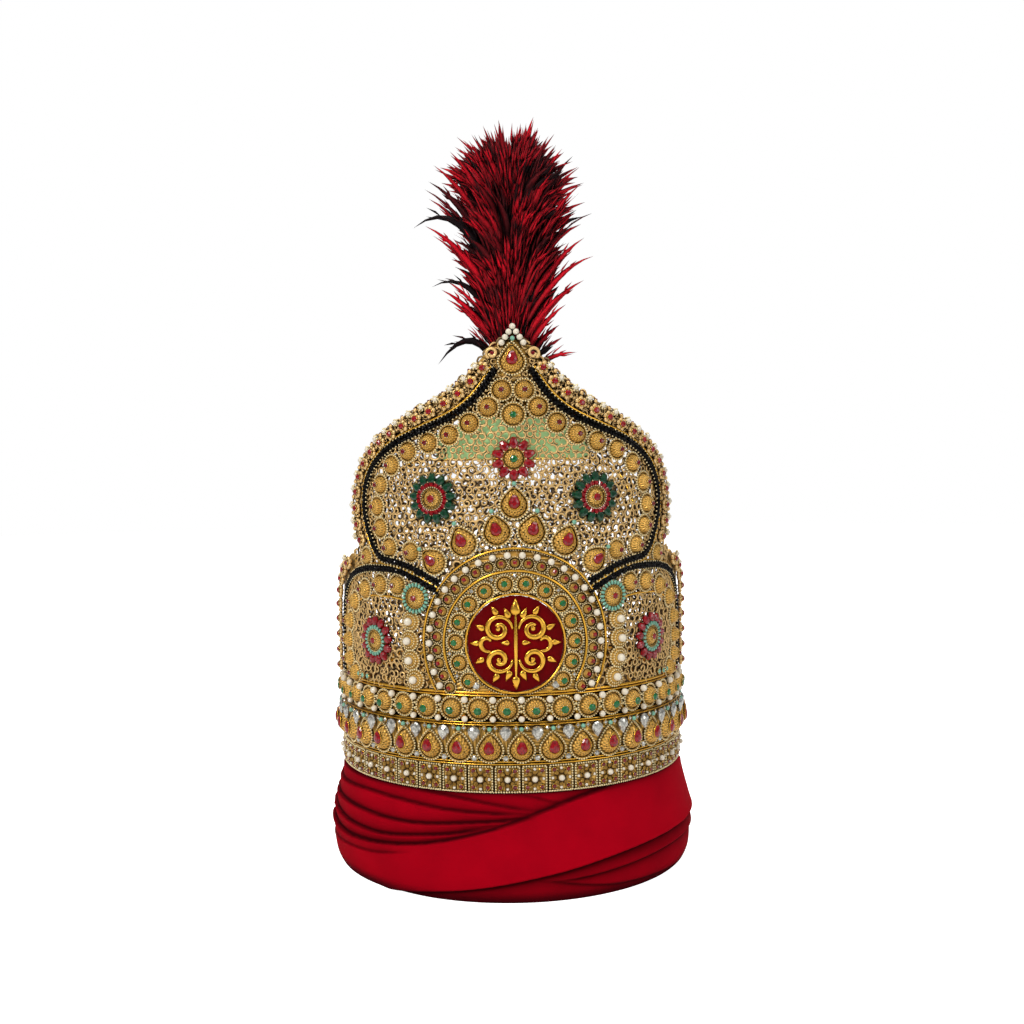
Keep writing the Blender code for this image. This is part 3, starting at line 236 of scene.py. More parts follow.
class CrownColours(bpy.types.PropertyGroup):
    """Colours that a user would change."""

    gilt: colour("Gilt", "Burnished gilt metal", "#F4BA46")
    # Gilt shade is painted shade: the colour gilt metal darkens to in its hollows and gaps.
    gilt_shade: colour("Gilt shade", "Gilt metal in its hollows", "#3A2006")
    filigree: colour("Filigree", "Pale gilt wire", "#ECC583")
    # Seed is pale gold made nearly white: a painted highlight on each granule.
    seed: colour("Seed", "Fine pale granules", "#F6E2AC")
    red: colour("Red", "Cut red stones", "#AC0014")
    dark_red: colour("Dark red", "Small garnet stones", "#84000E")
    green: colour("Green", "Cut green stones", "#047C3C")
    leaf: colour("Leaf", "Deep green stone petals", "#024A2A")
    clear: colour("Clear", "Clear foiled stones", "#E6E4DA")
    pearl: colour("Pearl", "Cream pearls", "#ECE2CC")
    turquoise: colour("Turquoise", "Turquoise beads", "#7CB89E")
    black: colour("Black", "Black beads", "#050405")
    enamel: colour("Enamel", "Fired enamel in its middle", "#7A0005")
    enamel_edge: colour("Enamel edge", "Fired enamel at its edge", "#5A0003")
    # Cloth and cloth shade are a lit and a shaded copy of one crimson; the shade is painted in.
    cloth: colour("Cloth", "Crimson cloth in the light", "#A80016")
    cloth_shade: colour("Cloth shade", "Crimson cloth in its folds", "#4E000C")
    green_cloth: colour("Green cloth", "Cloth behind the upper openwork", "#A6CC90")
    feather: colour("Feather", "Crimson feathers", "#DC0822")
    # Feather dark is the colour of dark feathers, and also the painted shade in the plume's depth.
    feather_dark: colour("Feather dark", "Dark feathers and tips", "#120609")


# Forms: points in millimetres, faces with four numbers (a triangle repeats its last), one finish a face.


def kind(name):
    """Number of a finish."""
    return FINISHES.index(name)


def grid(points, finish, round_rows=False, round_columns=False):
    """Form over a grid of points; face (i, j) joins (i, j), (i+1, j), (i+1, j+1), (i, j+1)."""
    rows, columns = points.shape[:2]
    index = np.arange(rows * columns).reshape(rows, columns)
    if round_rows:
        index = np.vstack((index, index[:1]))
    if round_columns:
        index = np.hstack((index, index[:, :1]))
    corners = (index[:-1, :-1], index[1:, :-1], index[1:, 1:], index[:-1, 1:])
    faces = np.stack(corners, axis=-1).reshape(-1, 4)
    flat = points.reshape(-1, 3).astype(float)
    return Form(flat, faces, np.full(len(faces), kind(finish)), flat.copy())


def weld(form):
    """The form with coinciding points made one; a face left with fewer than three corners is dropped."""
    _, first, again = np.unique(np.round(form.points, 5), axis=0, return_index=True, return_inverse=True)
    faces = again.reshape(-1)[form.faces]
    same = faces == np.roll(faces, -1, axis=1)
    kept = same.sum(axis=1) < 2
    faces, same = faces[kept], same[kept]
    start = np.where(same.any(axis=1), same.argmax(axis=1) + 2, 0)
    order = (np.arange(4)[None] + start[:, None]) % 4
    faces = np.take_along_axis(faces, order, axis=1)
    return Form(form.points[first], faces, form.finish[kept], form.local[first])


def join(*forms):
    """Several forms as one."""
    starts = np.cumsum([0] + [len(form.points) for form in forms[:-1]])
    return Form(
        np.concatenate([form.points for form in forms]),
        np.concatenate([form.faces + start for form, start in zip(forms, starts)]),
        np.concatenate([form.finish for form in forms]),
        np.concatenate([form.local for form in forms]))


def spread(unit, places, turns=0.0, sizes=1.0, lifts=0.0):
    """Copies of a unit: point p of copy k stands at place k + size k times p turned by angle k."""
    places = np.asarray(places, float).reshape(-1, 2)
    count = len(places)
    turns, sizes, lifts = (np.broadcast_to(np.asarray(v, float), (count,)) for v in (turns, sizes, lifts))
    cos, sin = (np.cos(turns) * sizes)[:, None], (np.sin(turns) * sizes)[:, None]
    x, y, lift = unit.points.T
    points = np.stack((
        cos * x - sin * y + places[:, :1],
        sin * x + cos * y + places[:, 1:],
        sizes[:, None] * lift + lifts[:, None]), axis=-1)
    faces = unit.faces[None] + (np.arange(count) * len(unit.points))[:, None, None]
    return Form(
        points.reshape(-1, 3), faces.reshape(-1, 4), np.tile(unit.finish, count),
        np.tile(unit.local, (count, 1)))


def lifted(form, rise):
    """The form raised from the wall."""
    return form._replace(points=form.points + (0.0, 0.0, rise))


def flipped(form):
    """The form with its faces turned round."""
    faces = form.faces[:, [2, 1, 0, 3]]
    three = form.faces[:, 2] == form.faces[:, 3]
    faces[three, 3] = faces[three, 2]
    return form._replace(faces=faces)


def mirrored(form):
    """The form with its first coordinate's sign changed and its faces turned round."""
    return flipped(form)._replace(points=form.points * (-1, 1, 1), local=form.local * (-1, 1, 1))


def both(form):
    """The form and its mirror image."""
    return join(form, mirrored(form))


def facing(form):
    """Direction and middle of each face."""
    first = form.points[form.faces[:, :3]]
    return np.cross(first[:, 1] - first[:, 0], first[:, 2] - first[:, 0]), first.mean(axis=1)


def wrapped(points):
    """x = (R + lift)·sin(u/R), y = -(R + lift)·cos(u/R), z unchanged, with R the wall's radius."""
    u, z, lift = points[..., 0], points[..., 1], points[..., 2]
    return np.stack(((SHEET + lift) * np.sin(u / SHEET), -(SHEET + lift) * np.cos(u / SHEET), z), axis=-1)


def turned(profile, sides, finish, start=0.0):
    """Profile of (distance r, height h) turned round the lift axis: (r·cos a, r·sin a, h)."""
    profile = np.asarray(profile, float)
    angle = start + np.arange(sides) * TURN / sides
    radius, height = profile[:, :1], profile[:, 1:]
    points = np.stack((radius * np.cos(angle), radius * np.sin(angle), height + 0 * angle), axis=-1)
    return weld(grid(points, finish, round_columns=True))


def swept(path, section, finish, closed=False, widths=1.0):
    """Section of (across c, up h) carried along a path: P(t) + w·(c·across + h·up)."""
    path = np.asarray(path, float)
    if path.shape[1] == 2:
        path = np.column_stack((path, np.zeros(len(path))))
    if closed:
        along = np.roll(path, -1, axis=0) - np.roll(path, 1, axis=0)
    else:
        along = np.gradient(path, axis=0)
    along /= np.linalg.norm(along, axis=1, keepdims=True)
    across = np.cross(along, (0.0, 0.0, 1.0))
    across /= np.linalg.norm(across, axis=1, keepdims=True)
    up = np.cross(across, along)
    loop = np.asarray(section, float)
    width = np.broadcast_to(np.asarray(widths, float), (len(path),))[:, None, None]
    points = path[:, None] + width * (loop[None, :, :1] * across[:, None] + loop[None, :, 1:] * up[:, None])
    if not closed:
        first, last = path[:1, None] + 0 * points[:1], path[-1:, None] + 0 * points[-1:]
        points = np.concatenate((first, points, last))
    return weld(grid(points, finish, round_rows=closed, round_columns=True))


def hoop(section, finish, steps=168):
    """Section of (height z, lift) carried round the whole circle."""
    u = np.arange(steps)[:, None] * TURN * SHEET / steps
    height, lift = np.asarray(section, float).T
    points = np.stack((u + 0 * height, 0 * u + height, 0 * u + lift), axis=-1)
    return grid(points, finish, round_rows=True, round_columns=True)


def flat_hoop(low, high, foot, top, finish):
    """Hoop with a plain square section."""
    return hoop(((low, foot), (low, top), (high, top), (high, foot)), finish)


def strap_hoop(low, width, inset, side, top):
    """Gilt hoop with sloped edges, from the wall up."""
    high = low + width
    return hoop(((low, 0.0), (low, side), (low + inset, top), (low + (width - inset), top), (high, side),
                 (high, 0.0)), "gilt")


def polar(radius, angle, middle=(0.0, 0.0)):
    """Places round a middle, with the angle counted from the right."""
    return np.stack((middle[0] + radius * np.cos(angle), middle[1] + radius * np.sin(angle)), axis=1)


def petals_at(radius, count):
    """Places evenly round nought, the first one up, and the angle of each."""
    angle = np.arange(count) * TURN / count
    return np.stack((-radius * np.sin(angle), radius * np.cos(angle)), axis=1), angle


def row(u, z):
    """Places at each u, all at one height."""
    return np.column_stack((u, np.full(len(u), z)))


def stations(count, phase):
    """Distances along the wall of a band's equal settings, and their pitch."""
    return SHEET * (np.radians(phase) + np.arange(count) * TURN / count), TURN * SHEET / count


def circle(radius, count=24, start=0.0, stop=TURN, middle=(0.0, 0.0)):
    """Points round a circle, without its last one where it is whole."""
    whole = abs(stop - start - TURN) < 1e-6
    return polar(radius, np.linspace(start, stop, count + 1)[:count if whole else count + 1], middle)


def wire(radius, sides=5):
    """Round section."""
    return polar(radius, np.arange(sides) * TURN / sides)


def strap(width, height, foot=0.0):
    """Low crowned section: a flat strap with rounded edges."""
    half = width / 2
    return ((half, foot), (half, 0.55 * height), (0.6 * half, height), (-0.6 * half, height),
            (-half, 0.55 * height), (-half, foot))


def raised(path, lift):
    """Path of (u, z) at a lift."""
    path = np.asarray(path, float)
    return np.column_stack((path, np.full(len(path), lift)))


def lengths(line):
    """Length along a path up to each of its points."""
    return np.concatenate(([0.0], np.cumsum(np.hypot(*np.diff(line, axis=0).T))))


def points_at(line, along, marks):
    """Points of a path at given lengths along it."""
    return np.stack([np.interp(marks, along, line[:, k]) for k in (0, 1)], axis=-1)


def even(path, count):
    """Path resampled to a number of evenly spaced points."""
    line = np.asarray(path, float)
    along = lengths(line)
    return points_at(line, along, np.linspace(0, along[-1], count))


def paced(path, pitch, closed=False, inset=0.0):
    """Places at even steps along a path, and the path's angle at each."""
    line = np.asarray(path, float)[:, :2]
    if closed:
        line = np.vstack((line, line[:1]))
    along = lengths(line)
    count = max(int(round((along[-1] - 2 * inset) / pitch)), 1)
    marks = np.linspace(inset, along[-1] - inset, count + 1)
    if closed:
        marks = marks[:-1]
    ahead, behind = np.minimum(marks + 0.3, along[-1]), np.maximum(marks - 0.3, 0.0)
    step = points_at(line, along, ahead) - points_at(line, along, behind)
    return points_at(line, along, marks), np.arctan2(step[:, 1], step[:, 0])


def smooth(path, pitch=1.5, reach=5):
    """Path resampled at a pitch and evened out: each point becomes the mean of those within reach of it."""
    places, _ = paced(path, pitch)
    padded = np.concatenate((
        2 * places[:1] - places[reach:0:-1], places, 2 * places[-1:] - places[-2:-reach - 2:-1]))
    total = np.cumsum(np.concatenate((np.zeros((1, 2)), padded)), axis=0)
    width = 2 * reach + 1
    return (total[width:] - total[:-width]) / width


def evened(values, reach):
    """Running mean of numbers, each with those within reach of it."""
    width = 2 * reach + 1
    padded = np.pad(values, reach, mode="reflect", reflect_type="odd")
    return np.convolve(padded, np.full(width, 1 / width), "valid")


def beside(path, distance):
    """Path moved to its left by a distance."""
    line = np.asarray(path, float)
    along = np.gradient(line, axis=0)
    along /= np.hypot(*along.T)[:, None]
    return line + distance * np.stack((-along[:, 1], along[:, 0]), axis=1)


def between(low_path, high_path, foot, top, finish):
    """Flat strip between two paths, as thick as from foot to top."""
    count = max(len(low_path), len(high_path))
    one, two = even(low_path, count), even(high_path, count)
    ring = np.stack((raised(one, top), raised(two, top), raised(two, foot), raised(one, foot)), axis=1)
    first, last = (0 * end + end.mean(axis=1, keepdims=True) for end in (ring[:1], ring[-1:]))
    form = weld(grid(np.concatenate((first, ring, last)), finish, round_columns=True))
    normal, middle = facing(form)
    on_top = np.abs(middle[:, 2] - top) < 1e-3
    return flipped(form) if normal[on_top, 2].sum() < 0 else form


def foot_strap(reach, foot, top):
    """Gilt strap along the foot of a wall, to a reach on each side of its middle."""
    steps = np.linspace(-reach, reach, 90)
    return between(row(steps, FOOT_STRAP[0]), row(steps, FOOT_STRAP[1]), foot, top, "gilt")


def inside(points, outline):
    """Whether a point lies in an outline: a ray to its right crosses the edges an odd number of times."""
    one = np.asarray(outline, float)
    two = np.roll(one, -1, axis=0)
    x, y = points[:, :1], points[:, 1:]
    crosses = (one[:, 1] > y) != (two[:, 1] > y)
    rise = np.where(two[:, 1] == one[:, 1], 1e-9, two[:, 1] - one[:, 1])
    at = one[:, 0] + (y - one[:, 1]) * (two[:, 0] - one[:, 0]) / rise
    return (crosses & (x < at)).sum(axis=1) % 2 == 1


# Small units, each lying on the wall with its middle at nought.


def ball(radius, finish, sides=6, rows=3, rise=1.0, lift=0.0):
    """Ball: at angle a from its top, r·sin a from its axis and r·cos a high."""
    angle = np.linspace(0, math.pi, rows + 1)
    return turned(
        np.stack((radius * np.sin(angle), lift + radius * rise * np.cos(angle)), axis=1), sides, finish)


def gem(radius, height, finish, sides=8):
    """Cut stone: small table, two rows of facets and a girdle."""
    profile = ((0, height), (0.42 * radius, height), (0.8 * radius, 0.72 * height), (radius, 0.3 * height),
               (0.96 * radius, -0.3), (0, -0.3))
    return turned(profile, sides, finish, TURN / sides / 2)


def drawn(form, share, reach=1.3, pinch=0.0):
    """The form drawn to a point: a place at angle a from up is moved out from nought.

    It grows by share·(1 - a/reach)³, less pinch·sin²(pi·a/1.7).
    """
    x, y, lift = form.points.T
    angle = np.abs(np.arctan2(x, y))
    stretch = 1 + share * np.clip(1 - angle / reach, 0, 1) ** 3
    stretch -= pinch * np.sin(math.pi * np.clip(angle / 1.7, 0, 1)) ** 2
    return form._replace(points=np.stack((x * stretch, y * stretch, lift), axis=1))


def drop_line(radius, share, reach=1.3, pinch=0.0, count=72):
    """Outline of a drop with its tip up."""
    path = circle(radius, count, TURN / 4, TURN * 1.25)
    ring = Form(np.column_stack((path, np.zeros(len(path)))), np.zeros((0, 4), int), None, None)
    return drawn(ring, share, reach, pinch).points[:, :2]


def seeds(path, radius, pitch, closed=True, finish="seed", lift=0.3, inset=0.0):
    """Row of fine granules along a path."""
    places, _ = paced(path, pitch, closed, inset)
    return spread(ball(radius, finish, 6, 3), places, lifts=lift)


def dome(radius, height, sides=20, collar=0.7):
    """Granulated dome with a groove between it and its round collar, painted dark as shade."""
    edge = radius + 0.2
    profile = ((0, height), (0.3 * radius, 0.95 * height), (0.55 * radius, 0.8 * height),
               (0.76 * radius, 0.55 * height), (0.92 * radius, 0.22 * height), (radius, -0.1),
               (edge, -0.1), (edge + 0.1, 0.55), (edge + 0.5 * collar, 0.8), (edge + collar, 0.5),
               (edge + collar, -0.4), (0, -0.4))
    form = turned(profile, sides, "granulated")
    reach = np.hypot(*form.points[form.faces[:, :3]].mean(axis=1)[:, :2].T)
    # The groove's faces get the recess finish: painted shade.
    groove = np.abs(reach - radius - 0.08) < 0.22
    return form._replace(finish=np.where(groove, kind("recess"), form.finish))


def crowned_stone(radius, height, finish, claws=6):
    """Round stone in a collar with small claws."""
    ring = swept(raised(circle(radius + 0.2, 10), 0.1), wire(0.28, 3), "gilt", closed=True)
    claw = spread(ball(0.34, "seed", 4, 2), circle(radius + 0.15, claws), lifts=0.35)
    return join(gem(radius, height, finish), ring, claw)


def disc(radius, height, stone, size, seed_pitch, shift=0.0, sides=20):
    """Domed disc: granulated dome in a collar, round stone on top and a beaded rim."""
    top = height * (1 - 0.3 * abs(shift) / radius) - 0.15
    return join(
        dome(radius, height, sides),
        spread(crowned_stone(size, 1.1, stone), [(0.0, shift)], lifts=top),
        seeds(circle(radius + 1.2, 48), 0.6, seed_pitch, lift=0.5))


def tear(radius, share, seed_pitch, stone_size=2.5, height=2.9, pinch=0.09):
    """Drop setting: granulated drop dome, red drop stone above pits painted dark as shade, and a beaded rim.
    """
    body = drawn(dome(radius, height, 30, 0.6), share, 1.3, pinch)
    stone = drawn(gem(stone_size, 1.5, "red_stone", 12), 0.95, 1.5)
    collar_path = drop_line(stone_size + 0.25, 0.95, 1.5, 0.0, 30)[:-1]
    collar = swept(raised(collar_path, 0.2), wire(0.3, 4), "gilt", closed=True)
    # Pits: small dark balls of painted shade below the stone.
    angles = np.radians(np.arange(-64, 65, 16))
    pits = np.stack((4.2 * np.sin(angles), 0.12 * radius - 4.2 * np.cos(angles)), axis=1)
    rim = drop_line(radius + 1.15, share, 1.3, pinch)[:-1]
    return join(
        body,
        spread(join(stone, collar), [(0.0, 0.12 * radius)], lifts=height - 0.5),
        spread(ball(0.42, "recess", 5, 2), pits, lifts=0.66 * height),
        seeds(rim, 0.6, seed_pitch, lift=0.6))


def petal(width, length, finish):
    """Pointed stone petal lying along the up direction from nought."""
    share = 2 * length / width - 2
    return spread(drawn(gem(width / 2, 1.9, finish, 12), share, 1.45), [(0.0, width / 2)])


def flower(petals, reach, width, length, finish):
    """Ring of pointed petals whose tips stand at the reach."""
    places, angle = petals_at(reach - length, petals)
    return spread(petal(width, length, finish), places, turns=angle, lifts=0.9)


def curl(turns, inner, oval, steps, hook):
    """Spiral of wire: at share t, angle = turns·t, distance = 1 - (1 - inner)·t.

    A hook draws its start outwards, and half a wave lifts its middle.
    """
    t = np.linspace(0, 1, steps)
    angle = TURN * turns * t
    radius = 1 - (1 - inner) * t + hook * np.clip(1 - 4 * t, 0, 1)
    lift = 0.16 * np.sin(math.pi * t)
    return np.stack((radius * np.cos(angle), oval * radius * np.sin(angle), lift), axis=1)


def curl_units(radius, thickness, sides=4, steps=10):
    """Kinds of wire curl: open C scrolls, spirals and hooked scrolls, each also turned over, and a ring."""
    shapes = ((0.78, 0.92, 1.0, 0.0), (0.88, 0.8, 0.85, 0.0), (1.2, 0.4, 1.0, 0.0), (0.8, 0.85, 0.95, 0.5),
              (0.72, 1.0, 1.15, 0.0))
    section = wire(thickness / 2, sides)
    units = []
    for turns, inner, oval, hook in shapes:
        unit = swept(curl(turns, inner, oval, steps, hook) * radius, section, "filigree")
        units += [unit, mirrored(unit)]
    ring = raised(circle(0.85 * radius, 9), 0.1)
    return units + [swept(ring, section, "filigree", closed=True)]


def honeycomb(box, pitch, shake, source):
    """Places on a grid of staggered rows over a box, each shaken by a share of the pitch."""
    (left, low), (right, high) = box
    rows = np.arange(low, high, pitch * 0.866)
    columns = np.arange(left, right, pitch)
    places = np.stack(np.meshgrid(columns, rows), axis=-1)
    places[1::2, :, 0] += pitch / 2
    places = places.reshape(-1, 2)
    return places + source.uniform(-shake, shake, places.shape) * pitch


def filigree(outline, gaps, radius, pitch, thickness, seed, lift=0.0, sides=4, steps=10):
    """Wire curls over an outline, except in round gaps (u, z, radius)."""
    source = np.random.default_rng(seed)
    outline = np.asarray(outline, float)
    places = honeycomb((outline.min(axis=0), outline.max(axis=0)), pitch, 0.16, source)
    kept = inside(places, outline)
    for u, z, reach in gaps:
        kept &= np.hypot(places[:, 0] - u, places[:, 1] - z) > reach
    places = places[kept]
    units = curl_units(radius, thickness, sides, steps)
    pick = source.integers(len(units), size=len(places))
    turns = source.uniform(0, TURN, len(places))
    sizes = source.uniform(0.86, 1.14, len(places))
    lifts = lift + source.uniform(-0.25, 0.3, len(places))
    return join(*[
        spread(unit, places[pick == k], turns[pick == k], sizes[pick == k], lifts[pick == k])
        for k, unit in enumerate(units)])


# Lines of the front wall.


def shares(table, width, height):
    """Table of shares as (u, z) in millimetres over the wall's foot."""
    return np.asarray(table) * (width, height) + (0.0, WALL_FOOT)


def arch(offset, first, last, count=40):
    """Side lobe's arch moved outwards: u = middle + (half + offset)·|cos t|^(2/p) by sign, z likewise."""
    t = np.radians(np.linspace(first, last, count))
    cos, sin = np.cos(t), np.sin(t)
    power = 2 / ARCH_POWER
    return np.stack((
        ARCH_MIDDLE + (ARCH_HALF + offset) * np.sign(cos) * np.abs(cos) ** power,
        ARCH_FOOT + (ARCH_RISE + offset) * np.abs(sin) ** power), axis=1)


def bead_line():
    """Middle of the large lobe's line of black beads, from the medallion to the point."""
    return smooth(shares(LOBE_LINE, LOBE_HALF_WIDTH, WALL_HEIGHT), 1.4, 4)


def side_bead_line():
    """Middle of the side lobe's line of black beads, from the medallion over the arch to the foot."""
    start = beside(shares(LOBE_LINE, LOBE_HALF_WIDTH, WALL_HEIGHT)[:6], -4.6)
    over = arch(0.0, 84, 0, 40)
    return smooth(np.vstack((start[:5], over, [(136.0, 114.2)])), 1.4, 3)


def front_outline():
    """Whole edge of the front wall, from its right foot over the point to its left foot."""
    side = arch(12.0, 0, 90, 60)
    side = side[side[:, 0] > 104.5]
    edge = shares(LOBE_EDGE, LOBE_HALF_WIDTH, WALL_HEIGHT)
    half = np.vstack(([(148.0, WALL_FOOT)], side, edge))
    return np.vstack((half, half[::-1] * (-1, 1)))


def back_outline():
    """Whole edge of the back wall, with u measured from the middle of the back."""
    half = shares(BACK_EDGE, BACK_HALF_WIDTH, BACK_HEIGHT)
    return np.vstack((half, half[::-1] * (-1, 1)))


def place_of(node):
    """Place (u, z) of the middle of a node's box."""
    low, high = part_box(node)
    middle = (low + high) / 2 / MM
    return INWARD * SHEET * math.atan2(middle.x, -middle.y), middle.z


# Finishes.


def plug(tree, node, inputs):
    """Sets a node's inputs: each is a constant, kept on the socket itself, or another node's output."""
    for socket, value in dict(inputs).items():
        if isinstance(value, bpy.types.NodeSocket):
            tree.links.new(value, node.inputs[socket])
        else:
            node.inputs[socket].default_value = value


def add(tree, kind_name, inputs=(), **settings):
    """Adds a node with its settings and inputs."""
    node = tree.nodes.new("ShaderNode" + kind_name)
    for name, value in settings.items():
        setattr(node, name, value)
    plug(tree, node, inputs)
    return node


def new_material(name):
    """Empty material with a shader and an output."""
    material = bpy.data.materials.new(name)
    material.use_nodes = True
    tree = material.node_tree
    tree.nodes.clear()
    shader = add(tree, "BsdfPrincipled")
    add(tree, "OutputMaterial", {"Surface": shader.outputs["BSDF"]})
    return material, tree, shader


def rgba(values, share=1.0):
    """Colour with full cover, dimmed to a share."""
    return (*(value * share for value in values), 1.0)


def dimmed(values, share):
    """Colour dimmed to a share."""
    return [value * share for value in values]


def blend_colours(tree, factor, first, second, mode="MIX"):
    """Mix of two colours by a factor."""
    inputs = {0: factor, 6: first, 7: second}
    return add(tree, "Mix", inputs, data_type="RGBA", blend_type=mode).outputs[2]


def ranged(tree, value, low, high, start=0.0, end=1.0):
    """Number stretched from the range low to high onto start to end, and kept inside it."""
    inputs = {"Value": value, "From Min": low, "From Max": high, "To Min": start, "To Max": end}
    return add(tree, "MapRange", inputs).outputs[0]


def maths(tree, operation, *values):
    """Result of an operation on numbers."""
    return add(tree, "Math", dict(enumerate(values)), operation=operation).outputs[0]


def crossed(tree, *waves):
    """Product of the sines of two numbers, each number times its own rate."""
    sines = [maths(tree, "SINE", maths(tree, "MULTIPLY", value, rate)) for value, rate in waves]
    return maths(tree, "MULTIPLY", *sines)


def object_place(tree):
    """Place on the piece."""
    return add(tree, "TexCoord").outputs["Object"]


def stored(tree):
    """Numbers stored with each point of a piece."""
    return add(tree, "Attribute", attribute_name="local").outputs["Vector"]


def clouds(tree, scale, detail=2.0):
    """Outputs of a soft noise over the piece."""
    return add(tree, "TexNoise", {"Vector": object_place(tree), "Scale": scale, "Detail": detail}).outputs


def hollow(tree, distance, low, high):
    """Openness from 0 in a hollow to 1 on a crest, used to paint shade into colours."""
    shade = add(tree, "AmbientOcclusion", {"Distance": distance}, samples=6)
    return ranged(tree, shade.outputs["AO"], low, high)


def bumped(tree, height, strength, distance):
    """Surface direction bent by a height."""
    inputs = {"Height": height, "Strength": strength, "Distance": distance}
    return add(tree, "Bump", inputs).outputs["Normal"]


def granules(tree, outwards, around):
    """Rows of granules on a unit: a sine of the distance from its middle times one of the angle round it."""
    local = stored(tree)
    parts = add(tree, "SeparateXYZ", {0: local}).outputs
    flat = add(tree, "VectorMath", {0: local, 1: (1.0, 1.0, 0.0)}, operation="MULTIPLY").outputs[0]
    reach = add(tree, "VectorMath", {0: flat}, operation="LENGTH").outputs["Value"]
    angle = maths(tree, "ARCTAN2", parts["Y"], parts["X"])
    return crossed(tree, (reach, outwards), (angle, around))


def metal(name, light, dark, roughness, grain=0.0, rings=0.0, depth=0.35, metallic=1.0, deep=0.35,
          crest=0.92):
    """Gilt metal: painted shade in hollows and between granules, uneven colour, with granules and rings
    raised by the bump.
    """
    material, tree, shader = new_material(name)
    height = cloud = clouds(tree, 120.0, 3.0)["Fac"]
    base = blend_colours(tree, ranged(tree, cloud, 0.3, 0.7, 0.0, 0.35), rgba(light), rgba(light, 0.72))
    if grain:
        height = granules(tree, TURN / rings, grain)
        # Painted shade: the low parts between granules take a darker copy of the colour.
        valley_shade = ranged(tree, height, 0.1, -0.7, 0.0, 0.7)
        base = blend_colours(tree, valley_shade, base, rgba(light, 0.16))
    # Painted shade: the ambient-occlusion node darkens the colour to the dark one in hollows.
    plug(tree, shader, {
        "Base Color": blend_colours(tree, hollow(tree, 0.0024, deep, crest), rgba(dark), base),
        "Metallic": metallic,
        "Roughness": ranged(tree, cloud, 0.25, 0.75, roughness * 0.8, roughness * 1.3),
        "Normal": bumped(tree, height, depth, 0.0004)})
    return material


def stone(name, body, roughness, foil):
    """Cut stone over foil: part of the light comes back from the foil, under a clear hard skin; cells of
    painted shade stand in for dark facets.
    """
    material, tree, shader = new_material(name)
    # Painted shade: cells of dark body colour stand in for the dark facets of a cut stone.
    cells = add(tree, "TexVoronoi", {"Vector": object_place(tree), "Scale": 900.0})
    painted_facet_shade = ranged(tree, cells.outputs["Distance"], 0.0, 0.7, 0.0, 0.75)
    plug(tree, shader, {
        "Base Color": blend_colours(tree, painted_facet_shade, rgba(body), rgba(body, 0.2)), "Metallic": foil,
        "Roughness": roughness, "Specular IOR Level": 0.35, "Coat Weight": 0.5, "Coat Roughness": 0.06})
    return material


def skin(name, body, shade, roughness, coat, scale, gloss=0.5):
    """Smooth glossy bead or pearl: soft cloudy colour, with painted shade in hollows."""
    material, tree, shader = new_material(name)
    base = blend_colours(tree, clouds(tree, scale)["Fac"], rgba(body), rgba(body, 0.8))
    plug(tree, shader, {
        # Painted shade: the shade colour fills the hollows.
        "Base Color": blend_colours(tree, hollow(tree, 0.0015, 0.2, 0.8), rgba(shade), base),
        "Roughness": roughness, "Specular IOR Level": gloss, "Coat Weight": coat, "Coat Roughness": 0.1})
    return material


def cloth_material(name, light, dark, thread, sheen, depth=0.008, glow=0.0):
    """Woven cloth: thread lines crossing at the thread spacing, painted shade in its folds and hollows, with
    a soft sheen.
    """
    material, tree, shader = new_material(name)
    parts = add(tree, "SeparateXYZ", {0: stored(tree)}).outputs
    weave = crossed(tree, (parts["X"], TURN / thread), (parts["Y"], TURN / thread))
    uneven = ranged(tree, clouds(tree, 45.0, 4.0)["Fac"], 0.3, 0.7, 0.0, 0.22)
    base = blend_colours(tree, uneven, rgba(light), rgba(dark))
    # Painted shade: hollows darken towards the dark colour.
    if depth:
        base = blend_colours(tree, hollow(tree, depth, 0.45, 0.98), rgba(dark), base)
    # The third stored number is painted shade from the folds, mixing in a darker copy of the dark colour; a
    # glow above nought paints light coming through the cloth from behind.
    plug(tree, shader, {
        "Base Color": blend_colours(tree, parts["Z"], base, rgba(dark, 0.45)), "Roughness": 0.9,
        "Specular IOR Level": 0.03, "Sheen Weight": sheen, "Sheen Roughness": 0.4,
        "Sheen Tint": rgba(light), "Emission Color": rgba(light), "Emission Strength": glow,
        "Normal": bumped(tree, weave, 0.12, 0.0002)})
    return material


def feather_material(name, light, dark):
    """Hackle feathers: place along the feather and tone are stored with each point; painted shade darkens
    them in the depth and towards each root.
    """
    material, tree, shader = new_material(name)
    parts = add(tree, "SeparateXYZ", {0: stored(tree)}).outputs
    along, tone = parts["X"], parts["Y"]
    uneven = ranged(tree, clouds(tree, 700.0)["Fac"], 0.35, 0.65, 0.0, 0.5)
    base = blend_colours(tree, uneven, rgba(light), rgba(light, 0.3))
    base = blend_colours(tree, tone, base, rgba(dark))
    # Painted shade: hollows and the roots, deep in the plume, take the dark colour.
    base = blend_colours(tree, hollow(tree, 0.012, 0.3, 0.9), rgba(dark), base)
    root = ranged(tree, along, 0.0, 0.45, 0.75, 0.0)
    plug(tree, shader, {"Base Color": blend_colours(tree, root, base, rgba(dark)), "Roughness": 0.55,
                        "Specular IOR Level": 0.1})
    return material


